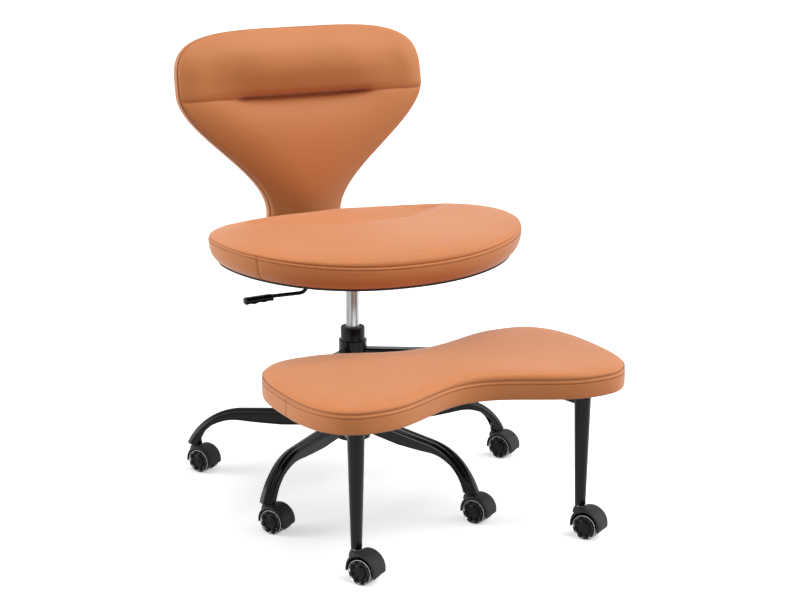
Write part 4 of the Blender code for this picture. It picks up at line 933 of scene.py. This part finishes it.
STOOL_PLACE = Matrix.Translation(COLUMN)
stool_outline, stool_join = even_outline(stool_rim, RING_SIDES * STOOL_ROWS, STOOL_JOIN)
stool_flat = np.full(len(stool_outline), STOOL_SEAM)
stool_lows = np.full(len(stool_outline), STOOL_BOTTOM)
stool_loops = band_loops(stool_outline, stool_join, stool_flat, stool_lows, 0, STOOL_GROOVE)
pocket_edge = drawn_in(stool_outline, POCKET_INWARD)
stool_sides = list(stool_loops)
for height in (STOOL_BOTTOM, STOOL_POCKET):
    stool_sides.append(np.column_stack([pocket_edge, np.full(len(pocket_edge), height)]))
stool_edge = drawn_in(stool_outline, SEAM_EDGE)
stool_cushion = cushion("stool_cushion", stool_edge, STOOL_CENTRE, STOOL_ROWS, stool_top, stool_sides)
puff(stool_cushion, STOOL_PUFF)
smoothed(stool_cushion)
stool_cushion.data.transform(STOOL_PLACE)
settle(stool_cushion, tan_leather, "stool", "tan_leather", "stool_pad")
stool_rows = [
    band_stitches("stool_stitches_upper", stool_outline, UPPER_ROW_INWARD, stool_flat + UPPER_ROW_RISE),
    band_stitches("stool_stitches_lower", stool_outline, ROW_INWARD, stool_flat - ROW_DROP),
    join_stitches("stool_stitches_join", stool_loops[2:-3], stool_join, STOOL_CENTRE),
]
for row in stool_rows:
    row.data.transform(STOOL_PLACE)
    settle(row, thread, "stool", "tan_leather")

# Seat frame and lever
# A steel plate with a channel housing sits on the cylinder's taper under a black board. The bent lever
# rod rocks in the housing and ends in a moulded paddle with finger grips underneath.
SEAT_TURN = math.radians(-2.7)
SEAT_PLACE = Matrix.Translation(COLUMN) @ Matrix.Rotation(SEAT_TURN, 4, "Z")
PADDLE_START = Vector((-0.2055, -0.0815, 0.4310))
PADDLE_LENGTH = 0.061
PADDLE_HALF_WIDTH = 0.011
PADDLE_HALF_HEIGHT = 0.0062
PADDLE_TILT = 0.0030
PADDLE_SQUARENESS = 0.55
PADDLE_NEAR_ROUND = 0.05
PADDLE_FAR_ROUND = 0.09
PADDLE_SWELL = 0.0010
GRIP_COUNT = 3
GRIP_DEPTH = 0.0011
GRIP_START = 0.25
PADDLE_ROWS = 36
PADDLE_COLUMNS = 32

black_board, board_shader, board_place = new_finish("black_lining_board", (0.015, 0.015, 0.015), 0.75)
tint(noise(board_place, 700.0), (0.010, 0.010, 0.010), (0.022, 0.022, 0.022)).feed(board_shader, "Base Color")
bump(noise(board_place, 900.0), 0.0004, 0.4).feed(board_shader, "Normal")
paint(black_board, "seat_board")
paint(black_steel, "seat_plate", "lever_rod")


def paddle_place(row, column):
    """Rounded oblong sections along the paddle; the lower side waves for the fingers."""
    share = row / PADDLE_ROWS
    turn = math.tau * column / PADDLE_COLUMNS
    ends = min(share / PADDLE_NEAR_ROUND, 1.0, (1 - share) / PADDLE_FAR_ROUND)
    rounding = math.sqrt(max(1 - (1 - ends) ** 2, 0)) * 0.999 + 0.001
    across = math.copysign(abs(math.cos(turn)) ** PADDLE_SQUARENESS, math.cos(turn))
    up = math.copysign(abs(math.sin(turn)) ** PADDLE_SQUARENESS, math.sin(turn))
    wave = GRIP_DEPTH * (1 - math.cos(math.tau * GRIP_COUNT * share)) * min(share / GRIP_START, 1.0)
    thick = PADDLE_HALF_HEIGHT + PADDLE_SWELL * share - (wave if up < 0 else 0)
    rise = up * thick * rounding - PADDLE_TILT * share
    return PADDLE_START + Vector((-PADDLE_LENGTH * share, across * PADDLE_HALF_WIDTH * rounding, rise))


paddle = grid("moulded_paddle", PADDLE_ROWS, PADDLE_COLUMNS, paddle_place)
face_outward(0.00002)
smooth_below(50)
paddle.data.transform(SEAT_PLACE)
settle(paddle, gloss_black, "lever", "black_plastic", "lever_paddle")

# Seat cushion
# Foam on the bent black board in the same leather: an oval top with a hollow behind the middle, and a
# band that tucks under. The seam is sewn down with one row of stitches; the rim rises at the sides.
SEAT_HALF_WIDTH = 0.3203
SEAT_FRONT = 0.244
SEAT_REAR = 0.2173
SEAT_CENTRE = np.array((0, -0.064))
SEAT_FRONT_POWER = 2.23
SEAT_REAR_POWER = 2.02
SEAT_BOTTOM = 0.490
SEAT_SEAM = 0.5304
SEAT_TUCK = 0.018
SEAT_UNDERCUT = 0.022
SEAT_SIDE_LIFT = 0.0200
SEAT_ROLL_LOSS = 0.0106
SEAT_GROOVE = 0.0050
SEAT_END_DROP = 0.0054
SEAT_LOW_SIDE_LIFT = 0.010
SEAT_LOW_FRONT_DROP = 0.0120
SEAT_ROLL = 0.0145
SEAT_CROWN = 0.011
SEAT_CROWN_POWER = 3.2
SEAT_POWER_GAIN = 4
SEAT_ROWS = 44
EDGE_ROWS = ((0.0195, 0.0002), (0.0188, 0.0012), (0.0192, 0.0028), (0.0205, 0.0034),
             (0.0330, 0.0034), (0.0330, 0.0002))
UNDER_SHARES = (0.94, 0.84, 0.725, 0.6, 0.5)
UNDER_RISE = 0.0005
SEAT_PUFF = 0.002
SEAT_JOIN = (-0.2802, -0.1968)
HOLLOW_CENTRE_Y = 0.100
HOLLOW_HALF_WIDTH = 0.258
HOLLOW_HALF_DEPTH = 0.172
HOLLOW_DEPTH = 0.020
HOLLOW_REAR_Y = 0.155
HOLLOW_RISE = 0.170
HOLLOW_SLOPE = 0.34
HOLLOW_STEEPER = 0.55
HOLLOW_RIM = 0.20
SHOULDER = (0.235, 0.020)
SHOULDER_RISE = 0.004
SHOULDER_REACH = 0.090
SHOULDER_ROLL = 0.20


def seat_rim(angle):
    rear = math.sin(angle) > 0
    power = SEAT_REAR_POWER if rear else SEAT_FRONT_POWER
    depth = SEAT_REAR if rear else SEAT_FRONT
    across = math.copysign(abs(math.cos(angle)) ** (2 / power), math.cos(angle))
    along = math.copysign(abs(math.sin(angle)) ** (2 / power), math.sin(angle))
    return SEAT_HALF_WIDTH * across, SEAT_CENTRE[1] + depth * along


def seam_lift(x, y):
    ahead = (y - SEAT_CENTRE[1]) / SEAT_FRONT
    return SEAT_SIDE_LIFT * (x / SEAT_HALF_WIDTH) ** 2 - SEAT_END_DROP * ahead ** 2


def low_lift(x, y):
    ahead = np.minimum(y - SEAT_CENTRE[1], 0) / SEAT_FRONT
    return SEAT_LOW_SIDE_LIFT * (x / SEAT_HALF_WIDTH) ** 2 - SEAT_LOW_FRONT_DROP * ahead ** 2


def seat_top(x, y, share):
    """The top rolls over to its seam, swells inside and drops into the hollow at the rear."""
    roll = SEAT_ROLL - SEAT_ROLL_LOSS * (share * x / SEAT_HALF_WIDTH) ** 2
    power = SEAT_CROWN_POWER + SEAT_POWER_GAIN * (y - SEAT_CENTRE[1])
    swell = roll * rolled(share, ROLL_WIDTH) + SEAT_CROWN * (1 - share ** power)
    shoulder = math.hypot(abs(x) - SHOULDER[0], y - SHOULDER[1]) / SHOULDER_REACH
    swell += SHOULDER_RISE * math.exp(-shoulder ** 2) * rolled(share, SHOULDER_ROLL)
    away = math.hypot(x / HOLLOW_HALF_WIDTH, (y - HOLLOW_CENTRE_Y) / HOLLOW_HALF_DEPTH)
    slope = HOLLOW_SLOPE * (1 - HOLLOW_STEEPER * min(abs(x) / HOLLOW_HALF_WIDTH, 1) ** 2)
    bowl = eased((1 - share) / HOLLOW_RIM) * eased((HOLLOW_REAR_Y - y) / HOLLOW_RISE)
    hollow = HOLLOW_DEPTH * eased((1 - away) / slope) * bowl
    return SEAT_SEAM + share ** 2 * seam_lift(x, y) + swell - hollow


seat_outline, seat_join = even_outline(seat_rim, RING_SIDES * SEAT_ROWS, SEAT_JOIN)
seat_seams = SEAT_SEAM + seam_lift(*seat_outline.T)
seat_low_lifts = low_lift(*seat_outline.T)
seat_lows = SEAT_BOTTOM + seat_low_lifts
seat_loops = band_loops(seat_outline, seat_join, seat_seams, seat_lows, SEAT_TUCK, SEAT_GROOVE)
for share in UNDER_SHARES:
    under_ring = SEAT_CENTRE + (drawn_in(seat_outline, SEAT_UNDERCUT) - SEAT_CENTRE) * share
    under_lifts = seat_low_lifts * eased(2 * share - 1)
    seat_loops.append(np.column_stack([under_ring, SEAT_BOTTOM + UNDER_RISE + under_lifts]))
seat_edge = drawn_in(seat_outline, SEAM_EDGE)
seat_cushion = cushion("seat_cushion", seat_edge, SEAT_CENTRE, SEAT_ROWS, seat_top, seat_loops)
puff(seat_cushion, SEAT_PUFF)
smoothed(seat_cushion)
seat_cushion.data.transform(SEAT_PLACE)
settle(seat_cushion, tan_leather, "seat", "tan_leather", "seat_pad")

edge_points = []
edge_loops = []
for inward, drop in EDGE_ROWS:
    edge_loops.append(range(len(edge_points), len(edge_points) + len(seat_outline)))
    edge_points += list(np.column_stack([drawn_in(seat_outline, inward), seat_lows - drop]))
edge_faces = []
for number, loop in enumerate(edge_loops):
    edge_faces += bridge(loop, edge_loops[number - 1])
board_edge = new_piece("seat_board_edge", edge_points, edge_faces)
smooth_below(40)
board_edge.data.transform(SEAT_PLACE)
settle(board_edge, black_board, "seat", "black_board")
seat_row = band_stitches("seat_stitches", seat_outline, ROW_INWARD, seat_seams - ROW_DROP)
seat_row.data.transform(SEAT_PLACE)
settle(seat_row, thread, "seat", "tan_leather")

# Backrest
# A waisted pad of foam and leather on a bent board, carried by a bent steel bar. A bolster at the top
# folds over a deep pleat in the middle, and a band runs round the side under a sewn seam.
BACK_FOOT = Vector((0, 0.224, 0.500))
BACK_LEAN = math.radians(7.5)
BACK_HEIGHT = 0.412
BACK_SWEEP = 0.1146
BACK_SWEEP_HEIGHT = 0.240
BACK_WIDEST = 0.2875
BACK_HALF_WIDTH = 0.2735
BACK_CORNER = 3.9
NECK_TOP = 0.022
NECK_HALF_WIDTH = 0.080
NECK_FLARE = 1.03
BACK_BAND_HALF = 0.015
BOLSTER_SWELL = 0.025
BOLSTER_REACH = 0.050
BOLSTER_FULL_X = 0.090
BOLSTER_FLAT_X = 0.215
BOLSTER_END_SHARE = 0.28
PANEL = 0.030
PANEL_BELLY = 0.070
PANEL_FALL = 0.48
PANEL_REACH = 0.085
PLEAT_HEIGHT = 0.271
PLEAT_LEVEL = PANEL - PANEL_FALL * (PLEAT_HEIGHT - PANEL_BELLY) ** 2
PLEAT_DEEP_X = 0.130
PLEAT_FADE_X = 0.158
PLEAT_PULL_X = 0.060
PLEAT_FREE_X = 0.215
BOLSTER_PULL = (0.006, 0.030)
BOLSTER_SLIT = (0.023, 0.0045)
PANEL_PULL = (0.016, 0.045)
PANEL_SLIT = (0.015, 0.0040)
CREASE = (0.0030, 0.0030)
EDGE_ROLL = 0.008
ROLL_SHARE = 0.20
BACK_COLUMNS = 72
LOWER_ROWS = 44
LOWER_SPACING = 1.35
PLEAT_ROWS = (0.0, 0.0020, 0.0042, 0.0070, 0.0105, 0.0135)
TOP_ROWS = 28
TOP_TURN = math.radians(86)
BACK_PUFF = 0.003

paint(black_steel, "back_bar")


def back_half_width(height):
    if height > BACK_WIDEST:
        share = min((height - BACK_WIDEST) / (BACK_HEIGHT - BACK_WIDEST), 1)
        return BACK_HALF_WIDTH * (1 - share ** BACK_CORNER) ** (1 / BACK_CORNER)
    share = max(height - NECK_TOP, 0) / (BACK_WIDEST - NECK_TOP)
    return NECK_HALF_WIDTH + (BACK_HALF_WIDTH - NECK_HALF_WIDTH) * eased(share ** NECK_FLARE)


def back_rows():
    """Heights of the rows over the front: closer at the pleat and round the top corners."""
    lower = [PLEAT_HEIGHT * (1 - (1 - step / LOWER_ROWS) ** LOWER_SPACING) for step in range(LOWER_ROWS)]
    near = [PLEAT_HEIGHT + offset for offset in PLEAT_ROWS]
    top = []
    for step in range(TOP_ROWS + 1):
        rise = math.sin(TOP_TURN * step / TOP_ROWS) ** (2 / BACK_CORNER)
        top.append(BACK_WIDEST + (BACK_HEIGHT - BACK_WIDEST) * rise)
    return lower + near + top


BACK_LEVELS = back_rows()
back_edge = [(back_half_width(height), height) for height in BACK_LEVELS]
back_ring = np.array(back_edge + [(-half, height) for half, height in back_edge[::-1]])


def edge_distance(x, height):
    """How far a point of the front lies inside the outline, of which the lower end is left out."""
    point = np.array((x, height))
    start = back_ring[:-1]
    run = back_ring[1:] - start
    run_square = np.maximum((run * run).sum(axis=1), 1e-12)
    share = np.clip(((point - start) * run).sum(axis=1) / run_square, 0, 1)
    return float(np.min(np.linalg.norm(start + run * share[:, None] - point, axis=1)))


def back_sweep(height):
    """How far the pad is swept back, above and below the height at which it meets the sitter."""
    return BACK_SWEEP * ((height - BACK_SWEEP_HEIGHT) / BACK_HEIGHT) ** 2


def fading(dent, away):
    """Depth of a dent, given as its full depth and its reach, at a distance from it."""
    depth, reach = dent
    return depth * math.exp(-away / reach)


def back_front(x, height):
    """Depth of the cover in front of its seam: a full bolster above the pleat and a panel below it."""
    edge = edge_distance(x, height)
    roll = math.sqrt(max(1 - max(1 - edge / EDGE_ROLL, 0) ** 2, 0))
    deep = 1 - eased((abs(x) - PLEAT_DEEP_X) / (PLEAT_FADE_X - PLEAT_DEEP_X))
    drawn_back = 1 - eased((abs(x) - PLEAT_PULL_X) / (PLEAT_FREE_X - PLEAT_PULL_X))
    away = height - PLEAT_HEIGHT
    crease = fading(CREASE, abs(away))
    if away >= 0:
        rise = away / (BACK_HEIGHT - PLEAT_HEIGHT)
        ends = eased((abs(x) - BOLSTER_FULL_X) / (BOLSTER_FLAT_X - BOLSTER_FULL_X))
        swell = BOLSTER_SWELL * (1 - (1 - BOLSTER_END_SHARE) * ends)
        full = PLEAT_LEVEL + swell * 4 * rise * (1 - rise)
        reach = BOLSTER_REACH
        notch = drawn_back * fading(BOLSTER_PULL, away) + deep * fading(BOLSTER_SLIT, away)
    else:
        full = PANEL - PANEL_FALL * (height - PANEL_BELLY) ** 2
        reach = PANEL_REACH
        notch = drawn_back * fading(PANEL_PULL, -away) + deep * fading(PANEL_SLIT, -away)
    flank = 1 - max(1 - edge / reach, 0) ** 2
    return full * (ROLL_SHARE * roll + (1 - ROLL_SHARE) * flank) - roll * (notch + crease)


def back_cushion_mesh():
    """The front in rows and columns, then loops round the side band and strips over the rear."""
    points = []
    rows = len(BACK_LEVELS)
    for height in BACK_LEVELS:
        half = back_half_width(height)
        for column in range(BACK_COLUMNS + 1):
            x = half * math.sin(math.pi / 2 * (2 * column / BACK_COLUMNS - 1))
            points.append((x, back_sweep(height) - BACK_BAND_HALF - back_front(x, height), height))
    wide = BACK_COLUMNS + 1
    faces = []
    for row in range(rows - 1):
        for column in range(BACK_COLUMNS):
            low = row * wide + column
            faces.append((low, low + 1, low + 1 + wide, low + wide))
    rim = list(range(BACK_COLUMNS))
    rim += [row * wide + BACK_COLUMNS for row in range(rows - 1)]
    rim += [(rows - 1) * wide + column for column in range(BACK_COLUMNS, 0, -1)]
    rim += [row * wide for row in range(rows - 1, 0, -1)]
    held = list(rim)
    pleat_row = BACK_LEVELS.index(PLEAT_HEIGHT)
    held += range(pleat_row * wide, (pleat_row + 1) * wide)
    outline = np.array([(points[index][0], points[index][2]) for index in rim])
    last = rim
    for inward, depth in BACK_BAND:
        loop = []
        for x, height in drawn_in(outline, inward):
            loop.append(len(points))
            points.append((x, depth + back_sweep(height), height))
        faces += bridge(last, loop)
        last = loop
        held += loop
    right = last[BACK_COLUMNS:BACK_COLUMNS + rows]
    left = [last[0]] + last[:-rows:-1]
    for lower_left, upper_left, lower_right, upper_right in list(zip(left, left[1:], right, right[1:]))[1:-1]:
        faces.append((lower_left, lower_right, upper_right, upper_left))
    faces.append(last[:BACK_COLUMNS] + [right[0], right[1], left[1]])
    faces.append([left[-2], right[-2]] + last[BACK_COLUMNS + rows - 1:2 * BACK_COLUMNS + rows])
    return points, faces, held


BACK_BAND = (
    (0.0060, -0.0130), (0.0006, -0.0108), (-0.0012, -0.0090), (-0.0020, -0.0050), (-0.0020, 0.0030),
    (-0.0014, 0.0090), (0.0000, 0.0128), (0.0022, 0.0146), (0.0060, 0.0150), (0.0120, 0.0150),
)
back_points, back_faces, back_held = back_cushion_mesh()
back_cushion = new_piece("back_cushion", back_points, back_faces)
back_cushion.vertex_groups.new(name="held").add(back_held, 1.0, "REPLACE")
# Painted shade: the front's rim and the band's groove are marked, so that they are painted dark as the seam's
# shadow.
back_seam_shade = back_cushion.data.attributes.new(SEAM_SHADE, "FLOAT", "POINT")
seam_start = len(BACK_LEVELS) * (BACK_COLUMNS + 1)
rim_length = len(back_ring) + 2 * (BACK_COLUMNS - 1)
for index in back_held[:rim_length] + list(range(seam_start, seam_start + 2 * rim_length)):
    back_seam_shade.data[index].value = 1.0
puff(back_cushion, BACK_PUFF)
smoothed(back_cushion, close=False)
BACK_PLACE = SEAT_PLACE @ Matrix.Translation(BACK_FOOT) @ Matrix.Rotation(-BACK_LEAN, 4, "X")
back_cushion.data.transform(BACK_PLACE)
settle(back_cushion, tan_leather, "seat", "tan_leather", "back_pad")
